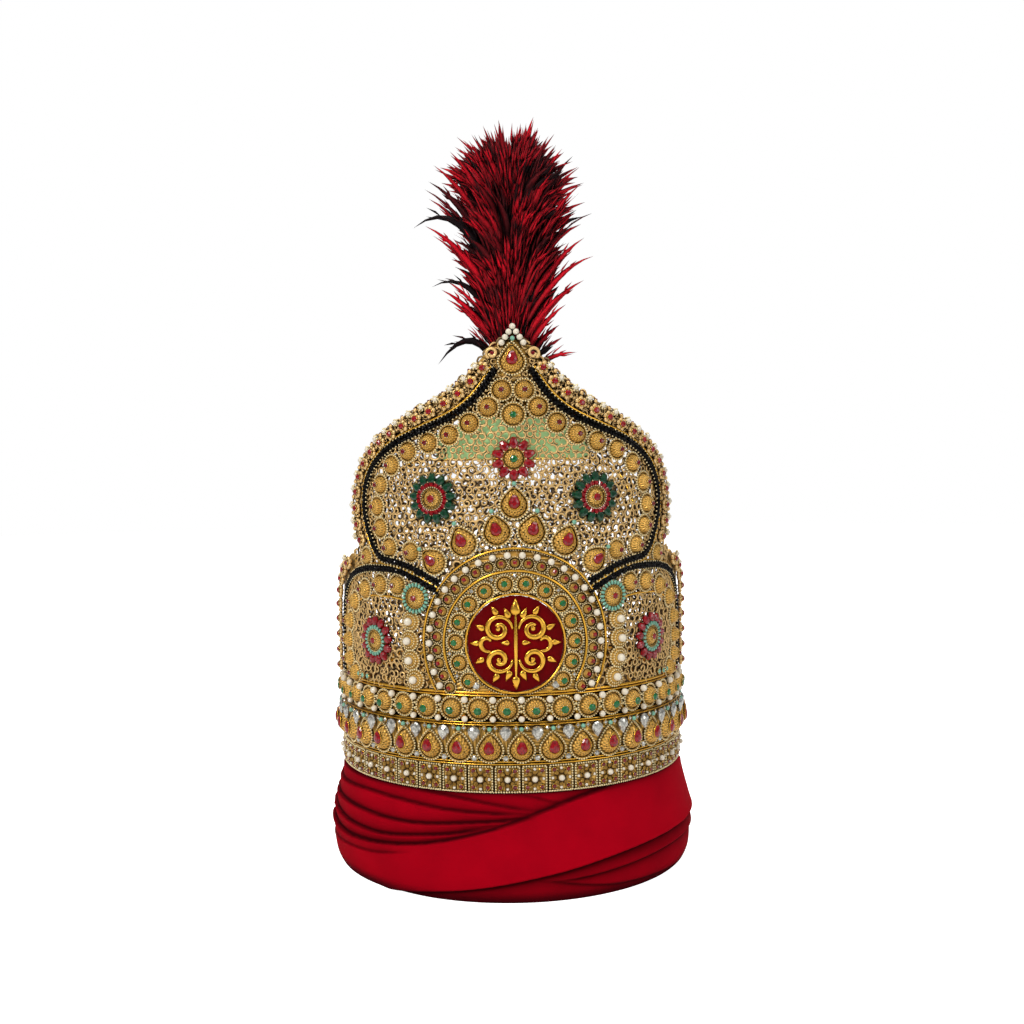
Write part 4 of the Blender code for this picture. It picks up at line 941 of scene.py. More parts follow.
def enamel_material(name, middle, edge):
    """Fired enamel: brighter red-brown in the middle, darker towards its rim, under a glassy skin."""
    material, tree, shader = new_material(name)
    heart = (0.0, -SHEET * MM, MEDALLION[1] * MM)
    centred = add(tree, "VectorMath", {0: object_place(tree), 1: heart}, operation="SUBTRACT").outputs[0]
    reach = add(tree, "VectorMath", {0: centred}, operation="LENGTH").outputs["Value"]
    base = blend_colours(tree, ranged(tree, reach, 0.006, 0.026), rgba(middle), rgba(edge))
    plug(tree, shader, {
        "Base Color": blend_colours(tree, 0.3, base, clouds(tree, 260.0, 3.0)["Color"], "SOFT_LIGHT"),
        "Roughness": 0.5, "Specular IOR Level": 0.03, "Coat Weight": 0.04, "Coat Roughness": 0.2})
    return material


def material_for(name):
    """Material of a finish, made once."""
    label = LABELS[name]
    found = bpy.data.materials.get(label)
    if found:
        return found
    colours = bpy.context.scene.crown_colours
    if name == "gilt":
        # Burnished straps catch sharp warm lights; painted shade makes them brown where they meet the wall.
        return metal(label, colours.gilt, colours.gilt_shade, 0.24, depth=0.1)
    if name == "granulated":
        # Granules of 0.4 mm on the domes break the light up into dots; drawn as coarse as it needs to show,
        # with painted shade between the granules and in hollows.
        pale = [0.7 * a + 0.3 * b for a, b in zip(colours.gilt, colours.filigree)]
        return metal(label, pale, colours.gilt_shade, 0.36, grain=16.0, rings=2.1, depth=0.8,
                     metallic=0.6, crest=0.8)
    if name == "dull_gilt":
        # The inner layer of wire is dimmed to a third as painted shade and only gives depth.
        return metal(label, dimmed(colours.filigree, 0.36), colours.gilt_shade, 0.6, depth=0.15,
                     metallic=0.3)
    if name == "filigree":
        # Pale wire with a soft sheen along its top; painted shade darkens it beside the gaps.
        return metal(label, colours.filigree, colours.gilt_shade, 0.42, depth=0.15, metallic=0.6,
                     crest=0.85)
    if name == "seed":
        # Granules are painted pale, nearly white: a painted highlight for the lamp each one mirrors; painted
        # shade darkens them in hollows.
        return metal(label, colours.seed, colours.gilt_shade, 0.4, depth=0.1, metallic=0.25, deep=0.1,
                     crest=0.55)
    if name == "recess":
        # Grooves, gaps and pits are painted nearly black: painted shade.
        return metal(label, dimmed(colours.gilt_shade, 0.12), (0.002, 0.001, 0.001), 0.6, depth=0.2)
    if name in STONES:
        # Cut glass: one bright facet, the others deep in colour, with painted shade in cells for dark
        # facets.
        tint, roughness, foil = STONES[name]
        return stone(label, getattr(colours, tint), roughness, foil)
    if name == "pearl":
        # Nacre: a wide soft light with a cream body.
        return skin(label, colours.pearl, dimmed(colours.pearl, 0.4), 0.22, 0.5, 300.0)
    if name == "turquoise":
        # Tumbled stone: a chalky blue green with a small soft light.
        return skin(label, colours.turquoise, dimmed(colours.turquoise, 0.3), 0.3, 0.3, 400.0)
    if name == "black_bead":
        # Facets only show as small grey lights on black.
        return skin(label, colours.black, (0.001, 0.001, 0.001), 0.3, 0.0, 300.0, 0.12)
    if name == "crimson_cloth":
        # Crepe drinks the light: full crimson, with painted shade of wine in the folds, under the metal, at
        # the foot and inside; threads of 0.3 mm are drawn at 0.9 mm, as fine as it can show.
        return cloth_material(label, colours.cloth, colours.cloth_shade, 0.9, 0.04)
    if name == "green_cloth":
        # Thin silk looks pale; a weak glow paints the light it lets through from behind.
        return cloth_material(label, colours.green_cloth, dimmed(colours.green_cloth, 0.6), 0.9, 0.1,
                              depth=0.0, glow=0.3)
    if name == "feather":
        # Hackles: long silky streaks, crimson over wine and black.
        return feather_material(label, colours.feather, colours.feather_dark)
    if name == "enamel":
        # Enamel is deep and even, with one weak light on its skin.
        return enamel_material(label, colours.enamel, colours.enamel_edge)
    raise ValueError("no finish called " + name)


def put(name, data):
    """New object in the scene."""
    thing = bpy.data.objects.new(name, data)
    bpy.context.scene.collection.objects.link(thing)
    return thing


def dress(node, finish):
    """Gives a solid piece that stays in view the material of a finish."""
    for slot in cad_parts[node].material_slots:
        slot.material = material_for(finish)


def make_piece(name, form, nodes=(), wall=True):
    """Blender mesh of a form, riding on the crown's body in the place of the named nodes."""
    points = wrapped(form.points) if wall else form.points
    used, index = np.unique(form.finish, return_inverse=True)
    corners = np.where(form.faces[:, 2] == form.faces[:, 3], 3, 4)
    loops = form.faces[np.arange(4)[None] < corners[:, None]]
    mesh = bpy.data.meshes.new(name)
    mesh.vertices.add(len(points))
    mesh.vertices.foreach_set("co", (points * MM).astype(np.float32).ravel())
    mesh.loops.add(len(loops))
    mesh.loops.foreach_set("vertex_index", loops.astype(np.int32))
    mesh.polygons.add(len(corners))
    mesh.polygons.foreach_set("loop_start", (np.cumsum(corners) - corners).astype(np.int32))
    for number in used:
        mesh.materials.append(material_for(FINISHES[number]))
    mesh.polygons.foreach_set("material_index", index.reshape(-1).astype(np.int32))
    flat = np.array([label in FLAT for label in FINISHES])
    mesh.update(calc_edges=True)
    mesh.polygons.foreach_set("use_smooth", ~flat[form.finish])
    store = mesh.attributes.new("local", "FLOAT_VECTOR", "POINT")
    store.data.foreach_set("vector", form.local.astype(np.float32).ravel())
    if mesh.validate(verbose=False):
        raise RuntimeError("the mesh of " + name + " isn't sound")
    piece = put(name, mesh)
    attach(piece, "root")
    if nodes:
        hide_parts(*nodes)
    return piece


class Maker(bpy.types.Operator):
    """Common parts of the operators that make pieces."""

    bl_options = {"REGISTER", "UNDO"}

    def execute(self, context):
        """Makes the piece with the sizes in millimetres."""
        self.make(context.scene.crown_sizes)
        return {"FINISHED"}


class CROWN_OT_wound_cloth(Maker):
    """Wound cloth ring that the metal stands on, with its folds"""

    bl_idname = "crown.wound_cloth"
    bl_label = "Wound cloth"

    def make(self, sizes):
        """Radius = wall + swell·profile(z) + folds, at distance d from a fold's line:

        depth·exp(-|d|/6.5) on its proud side, and -0.75·depth·exp(-|d|/3.2) on the other.
        """
        rows, outer = 310, 100
        degrees = np.linspace(-90, 270, rows, endpoint=False)
        profile = np.array(CLOTH_PROFILE)
        share = np.linspace(0, 1, outer)
        base = np.interp(share, profile[:, 0], profile[:, 1])
        base = evened(base, 6)
        height = share * CLOTH_HEIGHT
        swell = np.repeat(CLOTH_SWELL * base[None], rows, axis=0)
        # Painted shade: the cloth darkens just under the metal at its top and towards its foot.
        painted_lit_share = 1 - 0.85 * np.exp((height - CLOTH_HEIGHT) / 1.5) - 0.5 * np.exp(-height / 6.0)
        painted_lit_share = np.repeat(painted_lit_share[None], rows, axis=0)
        for depth, side, line in FOLDS:
            marks, levels = np.array(line, float).T
            fine = np.linspace(marks[0], marks[-1], 200)
            level = np.interp(degrees, fine, evened(np.interp(fine, marks, levels), 12))
            show = np.clip((degrees - marks[0]) / 10, 0, 1) * np.clip((marks[-1] - degrees) / 10, 0, 1)
            away = side * (level[:, None] - height[None])
            lip = np.where(away > 0, np.exp(-np.abs(away) / 6.5), -0.75 * np.exp(-np.abs(away) / 3.2))
            lip *= np.tanh(np.abs(away) / 0.35)
            swell += sizes.fold * depth * show[:, None] * lip
            # Each fold paints a dark line on its sunken side and painted shade spreading from it, wider
            # under the deep folds whose upper side stands proud.
            strength, reach = (0.8, 9.0) if side < 0 and depth > 1 else (0.55, 3.5)
            crease_shade = np.exp(-((away + 0.45) / 0.75) ** 2)
            crease_shade += strength * np.where(away < 0, np.exp(away / reach), 0.0)
            painted_lit_share *= 1 - np.clip(0.35 + 0.55 * depth, 0, 0.95) * show[:, None] * np.clip(crease_shade, 0, 1)
        waves = 0.35 * np.sin(np.radians(degrees * 5))[:, None] * np.sin(math.pi * share)[None]
        radius = np.maximum(SHEET + swell + waves, CLOTH_INSIDE + 1.5)
        radius[:, -3:] = np.minimum(radius[:, -3:], SHEET + 1.8)
        inner_z = np.array([58.9, 58.2, 55.0, 42.0, 30.0, 18.0, 6.0, 1.2, 0.0])
        inner_r = np.array([97.5, 94.5, 93.4, 93.2, 93.2, 93.2, 93.2, 93.8, 95.5])
        radius = np.hstack((radius, np.repeat(inner_r[None], rows, axis=0)))
        level = np.repeat(np.concatenate((height, inner_z))[None], rows, axis=0)
        angle = np.radians(degrees)[:, None]
        points = np.stack((radius * np.sin(angle), -radius * np.cos(angle), level), axis=-1)
        form = grid(points, "crimson_cloth", round_rows=True, round_columns=True)
        reach = np.repeat(SHEET * angle, points.shape[1], axis=1)
        # Painted shade kept with each point: from the outside's folds, and full on the inside wall.
        shade = np.hstack((1 - painted_lit_share, np.ones((rows, len(inner_z)))))
        form = form._replace(local=np.stack((reach, level, shade), axis=-1).reshape(-1, 3))
        piece = make_piece("wound_cloth", form, ("turban_wrap",), wall=False)


class CROWN_OT_squares_band(Maker):
    """Lowest band: square settings with a pearl in the middle and a stone in each corner"""

    bl_idname = "crown.squares_band"
    bl_label = "Squares band"

    def make(self, sizes):
        """44 equal settings, one every 360/44 degrees, on a hoop."""
        u, pitch = stations(SQUARES, SQUARES_PHASE)
        seed = sizes.seed_pitch / MM
        half, tall = pitch / 2 - 0.95, 6.9
        frame_path = np.array([(-half, -tall), (half, -tall), (half, tall), (-half, tall)])
        leaf = drawn(ball(1.25, "granulated", 6, 3, 0.7), 1.3, 1.3)
        leaves, angle = petals_at(3.3, 8)
        corners = [(3.9, 4.5), (-3.9, 4.5), (3.9, -4.5), (-3.9, -4.5)]
        sides = [(0.0, 5.3), (0.0, -5.3), (4.7, 0.0), (-4.7, 0.0)]
        unit = join(
            seeds(frame_path, 0.58, seed, lift=0.9),
            spread(leaf, leaves, turns=angle, lifts=0.9),
            lifted(ball(2.3, "granulated", 12, 4, 0.45), 0.7),
            lifted(ball(1.7, "pearl", 9, 5), 2.0),
            spread(ball(0.95, "pearl", 6, 4), sides, lifts=1.1),
            spread(crowned_stone(1.2, 0.9, "dark_stone", 3), corners, lifts=1.0))
        low, high = SQUARES_BAND
        places = row(u, (low + high) / 2)
        # Gaps between the settings are dark pieces of painted shade.
        gap = turned(((0, 0.62), (0.1, 0.62), (0.5, 0.35), (0.5, -0.2), (0, -0.2)), 4, "recess", TURN / 8)
        gap = gap._replace(points=gap.points * (0.9, tall * 2.9, 1))
        rim = row(np.arange(0, TURN * SHEET, seed), low + 0.35)
        form = join(
            hoop(((low, -2.4), (low, 0.1), (low + 0.5, 0.5), (high - 0.5, 0.5), (high, 0.1), (high, -2.4)),
                 "granulated"),
            spread(unit, places),
            spread(gap, places + (pitch / 2, 0.0), lifts=0.25),
            spread(ball(0.5, "seed", 6, 3), rim, lifts=0.6))
        make_piece("squares_band", lifted(form, 1.0), ("squares_tier",))


class CROWN_OT_drops_band(Maker):
    """Middle band: drop settings with red stones, and clear stones between them"""

    bl_idname = "crown.drops_band"
    bl_label = "Drops band"

    def make(self, sizes):
        """38 equal drops, one every 360/38 degrees, with the clear stones half a pitch further."""
        u, pitch = stations(DROPS, DROPS_PHASE)
        low, high = DROPS_BAND
        gaps = u + pitch / 2
        unit = tear(6.0, 0.36, sizes.seed_pitch / MM, 2.75, 4.6, 0.06)
        pear = drawn(gem(3.3, 2.0, "clear_stone", 10), 0.6, 1.4)
        small = crowned_stone(1.0, 0.9, "clear_stone", 4)
        form = join(
            flat_hoop(low, high, -2.4, 0.3, "granulated"),
            spread(unit, row(u, low + 8.5), lifts=0.9),
            spread(pear, row(gaps, high - 4.1), turns=math.pi, lifts=2.3),
            spread(crowned_stone(1.6, 1.0, "clear_stone"), row(gaps, low + 3.8), lifts=1.4),
            spread(ball(1.3, "turquoise", 8, 5), row(u, high - 2.5), lifts=2.4),
            spread(small, row(u + 2.9, high - 2.1), lifts=1.8),
            spread(small, row(u - 2.9, high - 2.1), lifts=1.8),
            # A dark strip of painted shade between the two lower straps.
            flat_hoop(low + 0.9, low + 1.4, 0.2, 1.1, "recess"),
            *[strap_hoop(z, 0.85, 0.25, 1.2, 1.55) for z in (low, low + 1.4, high - 0.9)])
        make_piece("drops_band", lifted(form, 1.0), ("drops_tier",))


class CROWN_OT_discs_band(Maker):
    """Upper band: domed discs with green stones, and pearls between them"""

    bl_idname = "crown.discs_band"
    bl_label = "Discs band"

    def make(self, sizes):
        """42 equal discs, one every 360/42 degrees, with the pearls half a pitch further."""
        u, pitch = stations(DISCS, DISCS_PHASE)
        low, high = DISCS_BAND
        middle, gaps = (low + high) / 2, u + pitch / 2
        unit = disc(5.25, 4.4, "green_stone", 2.1, sizes.seed_pitch / MM, shift=-0.5)
        grain = ball(0.9, "seed", 6, 4)
        form = join(
            flat_hoop(low, high, -1.4, 0.3, "gilt"),
            spread(unit, row(u, middle), lifts=0.8),
            spread(ball(1.95, "pearl", 10, 6), row(gaps, high - 2.6), lifts=2.8),
            spread(ball(1.75, "pearl", 10, 6), row(gaps, low + 2.6), lifts=2.6),
            spread(grain, row(gaps, middle + 1.6), lifts=0.9),
            spread(grain, row(gaps, middle - 1.4), lifts=0.9),
            *[strap_hoop(z, 1.0, 0.3, 1.0, 1.4) for z in (low, high - 1.0)])
        make_piece("discs_band", form, ("discs_tier",))


def wall_gaps():
    """Round places (u, z, radius) on the front wall that carry no wire curls."""
    gaps = [(*MEDALLION, 50.0)]
    gaps += [(sign * u, z, 4.6) for u, z in LOBE_DISCS + SIDE_DISCS for sign in (1, -1)]
    reaches = {"tear_mount_top": 6.5, "centre_disc": 6.0, "flower_top": 5.5, "apex_mount": 8.0}
    for side in ("left", "right"):
        reaches.update({
            "tear_mount_" + side + "_1": 6.5, "tear_mount_" + side + "_2": 6.5,
            "tear_mount_" + side + "_3": 6.0, "flower_" + side: 7.5, "rosette_" + side: 8.5,
            "bead_disc_" + side: 7.0, "notch_disc_" + side: 5.0})
    gaps += [(*place_of(node), reach) for node, reach in reaches.items()]
    return gaps


class CROWN_OT_front_wall(Maker):
    """Front wall: wire filigree on its ground, with edging straps along the lobes"""

    bl_idname = "crown.front_wall"
    bl_label = "Front wall"

    def make(self, sizes):
        """Two layers of wire curls inside the wall's outline, less its settings.

        Straps run beside the bead lines, over the side lobes and along the foot.
        """
        wire_size, radius, pitch = sizes.wire / MM, sizes.curl / MM, sizes.curl_pitch / MM
        outline = front_outline()
        gaps = wall_gaps()
        reach = 113.0
        upper = np.vstack((
            [(reach, WALL_FOOT + 1)], outline[np.abs(outline[:, 0]) < reach], [(-reach, WALL_FOOT + 1)]))
        lower = np.vstack((
            [(146.5, WALL_FOOT + 1.5)], arch(10.5, 0, 60, 30), [(104.0, WALL_FOOT + 1.5)]))
        form = filigree(upper, gaps, radius, pitch, wire_size, 11, lift=0.1)
        make_piece("front_filigree", form, ("front_plate",))
        side = filigree(lower, gaps, radius, pitch, wire_size, 12, lift=0.1)
        level = 228.0
        above = np.column_stack((outline[:, 0], np.maximum(outline[:, 1], level)))
        below = np.column_stack((outline[:, 0], np.minimum(outline[:, 1], level)))
        bare = [(0.0, 250.0, 26.0), (28.0, 246.0, 12.0), (-28.0, 246.0, 12.0)]
        under = join(filigree(above, bare, 2.6, 5.6, 1.4, 13, lift=-1.5, sides=3, steps=8),
                     filigree(below, gaps[:1], 2.6, 4.8, 1.6, 14, lift=-1.5, sides=3, steps=8))
        # The inner layer takes the finish of painted shade.
        under = under._replace(finish=np.full(len(under.faces), kind("dull_gilt")))
        make_piece("side_filigree", both(side))
        make_piece("inner_filigree", under)
        line = bead_line()
        edge = smooth(shares(LOBE_EDGE, LOBE_HALF_WIDTH, WALL_HEIGHT), 1.4, 4)
        inner = beside(line[line[:, 1] > 186], 3.0)
        outer_line = line[line[:, 1] > 186]
        rim = between(inner, edge, -1.4, -0.3, "granulated")
        side_line = side_bead_line()
        over = arch(12.0, 62, 0, 30)
        side_edge = np.vstack((over, [(147.8, 112.6)]))
        inside_line = np.vstack((arch(-2.6, 74, 0, 30), [(133.4, 112.6)]))
        side_rim = between(inside_line, side_edge, -1.4, 1.0, "granulated")
        inner_arch = np.vstack((arch(-15.5, 118, 0, 50), [(120.5, 114.0)]))
        ground_edge = np.array([(36.0, 260.6), (24.0, 267.4), (16.5, 275.4), (11.0, 283.4)])
        ground = between(ground_edge * (-1, 1), ground_edge, -1.3, -0.4, "gilt")
        straps = join(
            both(rim), both(side_rim), foot_strap(147.5, -1.4, 0.9), ground,
            both(swept(raised(beside(line, -2.8), 0.8), strap(1.1, 1.0, -1.0), "gilt")),
            both(swept(raised(beside(side_line, 2.7), 0.4), strap(0.9, 0.9, -0.8), "gilt")),
            both(swept(raised(inner_arch, 0.2), strap(1.2, 0.9, -0.8), "gilt")))
        make_piece("wall_straps", straps)


class CROWN_OT_back_wall(Maker):
    """Back wall: plainer wire filigree with a strap along its edge"""

    bl_idname = "crown.back_wall"
    bl_label = "Back wall"

    def make(self, sizes):
        """Wire curls inside the back outline, all carried to u + pi·R, with a strap along its edge."""
        outline = back_outline()
        form = filigree(outline, [], 3.0, 5.8, 1.1, 21, lift=-0.8, sides=3, steps=9)
        half = smooth(shares(BACK_EDGE, BACK_HALF_WIDTH, BACK_HEIGHT), 2.5, 3)
        top = row(np.linspace(60.84, -60.84, 50), WALL_FOOT + BACK_HEIGHT)
        path = np.vstack((half[:-1], top, half[-2::-1] * (-1, 1)))
        edge = swept(raised(path, -0.8), wire(0.9, 6), "gilt")
        pearls = spread(ball(0.8, "seed", 6, 4), paced(path, 2.4)[0], lifts=0.2)
        whole = join(form, edge, pearls, foot_strap(168.0, -1.6, 0.6))
        points = whole.points + (math.pi * SHEET, 0.0, 0.0)
        make_piece("back_filigree", whole._replace(points=points), ("back_plate",))


class CROWN_OT_backing(Maker):
    """Small green cloth behind the upper openwork"""

    bl_idname = "crown.backing"
    bl_label = "Green backing"

    def make(self, sizes):
        """Sheet at lift -2.6 + 0.25·sin(0.55·u + 2·share), closed by its back and its ends."""
        half = shares(((0.39, 0.668), (0.39, 0.738), (0.195, 0.785)), LOBE_HALF_WIDTH, WALL_HEIGHT)
        columns = np.linspace(-half[0, 0], half[0, 0], 60)
        top = np.interp(np.abs(columns), (half[2, 0], half[1, 0]), (half[2, 1], half[1, 1]))
        share = np.linspace(0, 1, 14)[:, None]
        low = half[0, 1] + 0.35 * np.sin(columns * 0.5)
        z = low + (top - low) * share
        ripple = -2.6 + 0.25 * np.sin(columns * 0.55 + 2 * share)
        sheet = np.stack((columns + 0 * z, z, ripple), axis=-1)
        front = sheet + (0, 0, 0.2)
        back = sheet - (0, 0, 0.2)
        ring = np.concatenate((front, back[::-1]))
        form = grid(ring, "green_cloth", round_rows=True)
        one, two = (np.stack((ring[:14, end], ring[14:, end][::-1]), axis=1) for end in (0, -1))
        form = weld(join(form, grid(one, "green_cloth"), grid(two[:, ::-1], "green_cloth")))
        normal, middle = facing(form)
        if normal[middle[:, 2] > ripple.mean(), 2].sum() < 0:
            form = form._replace(faces=form.faces[:, ::-1].copy())
        form = form._replace(local=form.points.copy())
        piece = make_piece("green_backing", form, ("backing_cloth",))


class CROWN_OT_medallion(Maker):
    """Medallion: frames, green-stone discs, small domes, enamel with its gold scroll, and the pearl arch"""

    bl_idname = "crown.medallion"
    bl_label = "Medallion"

    def make(self, sizes):
        """Rings and settings at their radii round the medallion's middle."""
        seed = sizes.seed_pitch / MM
        middle = MEDALLION

        def ring(radius):
            path = circle(radius, 96, math.radians(-33.0), math.radians(213.0), middle)
            return path[path[:, 1] > WALL_FOOT + 0.6]

        inner, outer = (circle(radius, 96, math.radians(-90), math.radians(269.9), middle)
                        for radius in (27.0, 51.6))
        for path in (inner, outer):
            path[:, 1] = np.maximum(path[:, 1], WALL_FOOT + 0.1)
        base = between(inner, outer, -1.2, 0.6, "granulated")
        angles = np.radians(DISC_FIRST + DISC_STEP * np.arange(14))
        places = polar(DISC_RING, angles, middle)
        disc_unit = disc(3.9, 2.8, "green_stone", 1.75, 1.4, shift=0.5, sides=18)
        small = np.radians(DISC_FIRST + DISC_STEP * (np.arange(13) + 0.5))
        frame_form = join(
            base,
            swept(raised(circle(ENAMEL_RIM, 80, 0, TURN, middle), 0.4), strap(1.3, 1.9, -1.0), "gilt",
                  closed=True),
            spread(disc_unit, places, turns=angles - TURN / 4, lifts=0.7),
            spread(crowned_stone(1.1, 0.8, "clear_stone", 4), polar(36.6, small, middle), lifts=0.8),
            spread(ball(0.9, "seed", 6, 4), polar(29.3, small, middle), lifts=1.0),
            swept(raised(ring(MIDDLE_STRAP), 0.6), strap(1.3, 1.3, -0.6), "gilt"),
            seeds(ring(38.0), 0.45, seed, closed=False, lift=0.9),
            seeds(ring(40.6), 0.45, seed, closed=False, lift=0.9),
            swept(raised(ring(OUTER_STRAP), 0.6), strap(1.2, 1.4, -0.8), "gilt"),
            seeds(ring(50.3), 0.42, seed, closed=False, lift=0.9),
            seeds(circle(28.3, 96, 0, TURN, middle), 0.42, seed, lift=0.8),
            spread(crowned_stone(2.3, 1.3, "clear_stone"), [(21.5, 117.0), (-21.5, 117.0)], lifts=0.7))
        make_piece("medallion_rings", frame_form, ("medallion_frame",))
        count = 27
        angles = np.radians(-34 + 248 / (count - 1) * np.arange(count))
        domes = polar(DOME_RING, angles, middle)
        kept = domes[:, 1] > WALL_FOOT + 3.2
        small_dome = join(
            dome(2.6, 2.1, 12, 0.35),
            spread(gem(1.5, 1.0, "red_stone", 4), [(0.0, 0.4)], lifts=1.7),
            seeds(circle(3.35, 24), 0.45, 1.25, lift=0.4))
        form = spread(small_dome, domes[kept], turns=angles[kept] - TURN / 4, lifts=0.8)
        make_piece("medallion_domes", form)
        angles = angles + np.radians(124 / (count - 1))
        pearls = polar(PEARL_RING, angles, middle)[:-1]
        pearls = pearls[pearls[:, 1] > WALL_FOOT + 2.2]
        form = spread(ball(sizes.pearl / MM, "pearl", 12, 8), pearls, lifts=2.2)
        make_piece("pearl_row", form, ("pearl_arch",))
        self.scroll()
        dress("enamel_disc", "enamel")

    def scroll(self):
        """Gold leaf scroll on the enamel: tapering spirals and leaves, the same on both sides."""
        t = np.linspace(0, 1, 40)

        def spiral(start, turn, radius, inner, place, grow):
            path = polar(radius * (1 - (1 - inner) * t), start + turn * TURN * t, place)
            width = grow * np.sin(math.pi * (0.08 + 0.84 * t)) + 0.35
            return swept(raised(path, 0.0), strap(2.1, 0.9, -0.7), "gilt", widths=width)

        stem = swept(raised(np.stack((0 * t, -19.0 + 36 * t), axis=1), 0.0), strap(1.5, 1.2, -0.8), "gilt",
                     widths=0.5 + 0.9 * np.sin(math.pi * t))
        leaf = drawn(ball(1.9, "gilt", 12, 5, 0.4), 1.5, 1.3)
        half = join(
            spiral(math.radians(180), -1.35, 7.6, 0.28, (9.2, 8.0), 1.0),
            spiral(math.radians(180), 1.35, 7.2, 0.28, (9.0, -8.6), 1.0),
            spiral(math.radians(250), 0.72, 5.0, 0.35, (14.8, 0.6), 0.8),
            spread(leaf, [(4.0, 15.5), (3.6, -16.0), (10.5, 17.0), (17.8, 8.4), (18.2, -8.6), (10.2, -17.4),
                          (20.6, 0.3), (4.6, 0.6), (9.2, 8.0), (9.0, -8.6)],
                   turns=np.radians([-25, 205, -32, -62, -118, 212, -90, -90, 20, 160]),
                   sizes=[1.0, 1.0, 0.9, 0.9, 0.9, 0.9, 0.85, 0.8, 0.7, 0.7], lifts=0.2))
        ends = spread(leaf, [(0.0, 18.0), (0.0, -19.5)], turns=[0.0, math.pi], sizes=[1.5, 1.2], lifts=0.2)
        form = join(stem, half, mirrored(half), ends)
        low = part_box("medallion_ornament")[0].y / MM
        lift = -low - SHEET - 1.3
        form = form._replace(points=form.points + (*MEDALLION, lift))
        make_piece("enamel_scroll", form, ("medallion_ornament",))


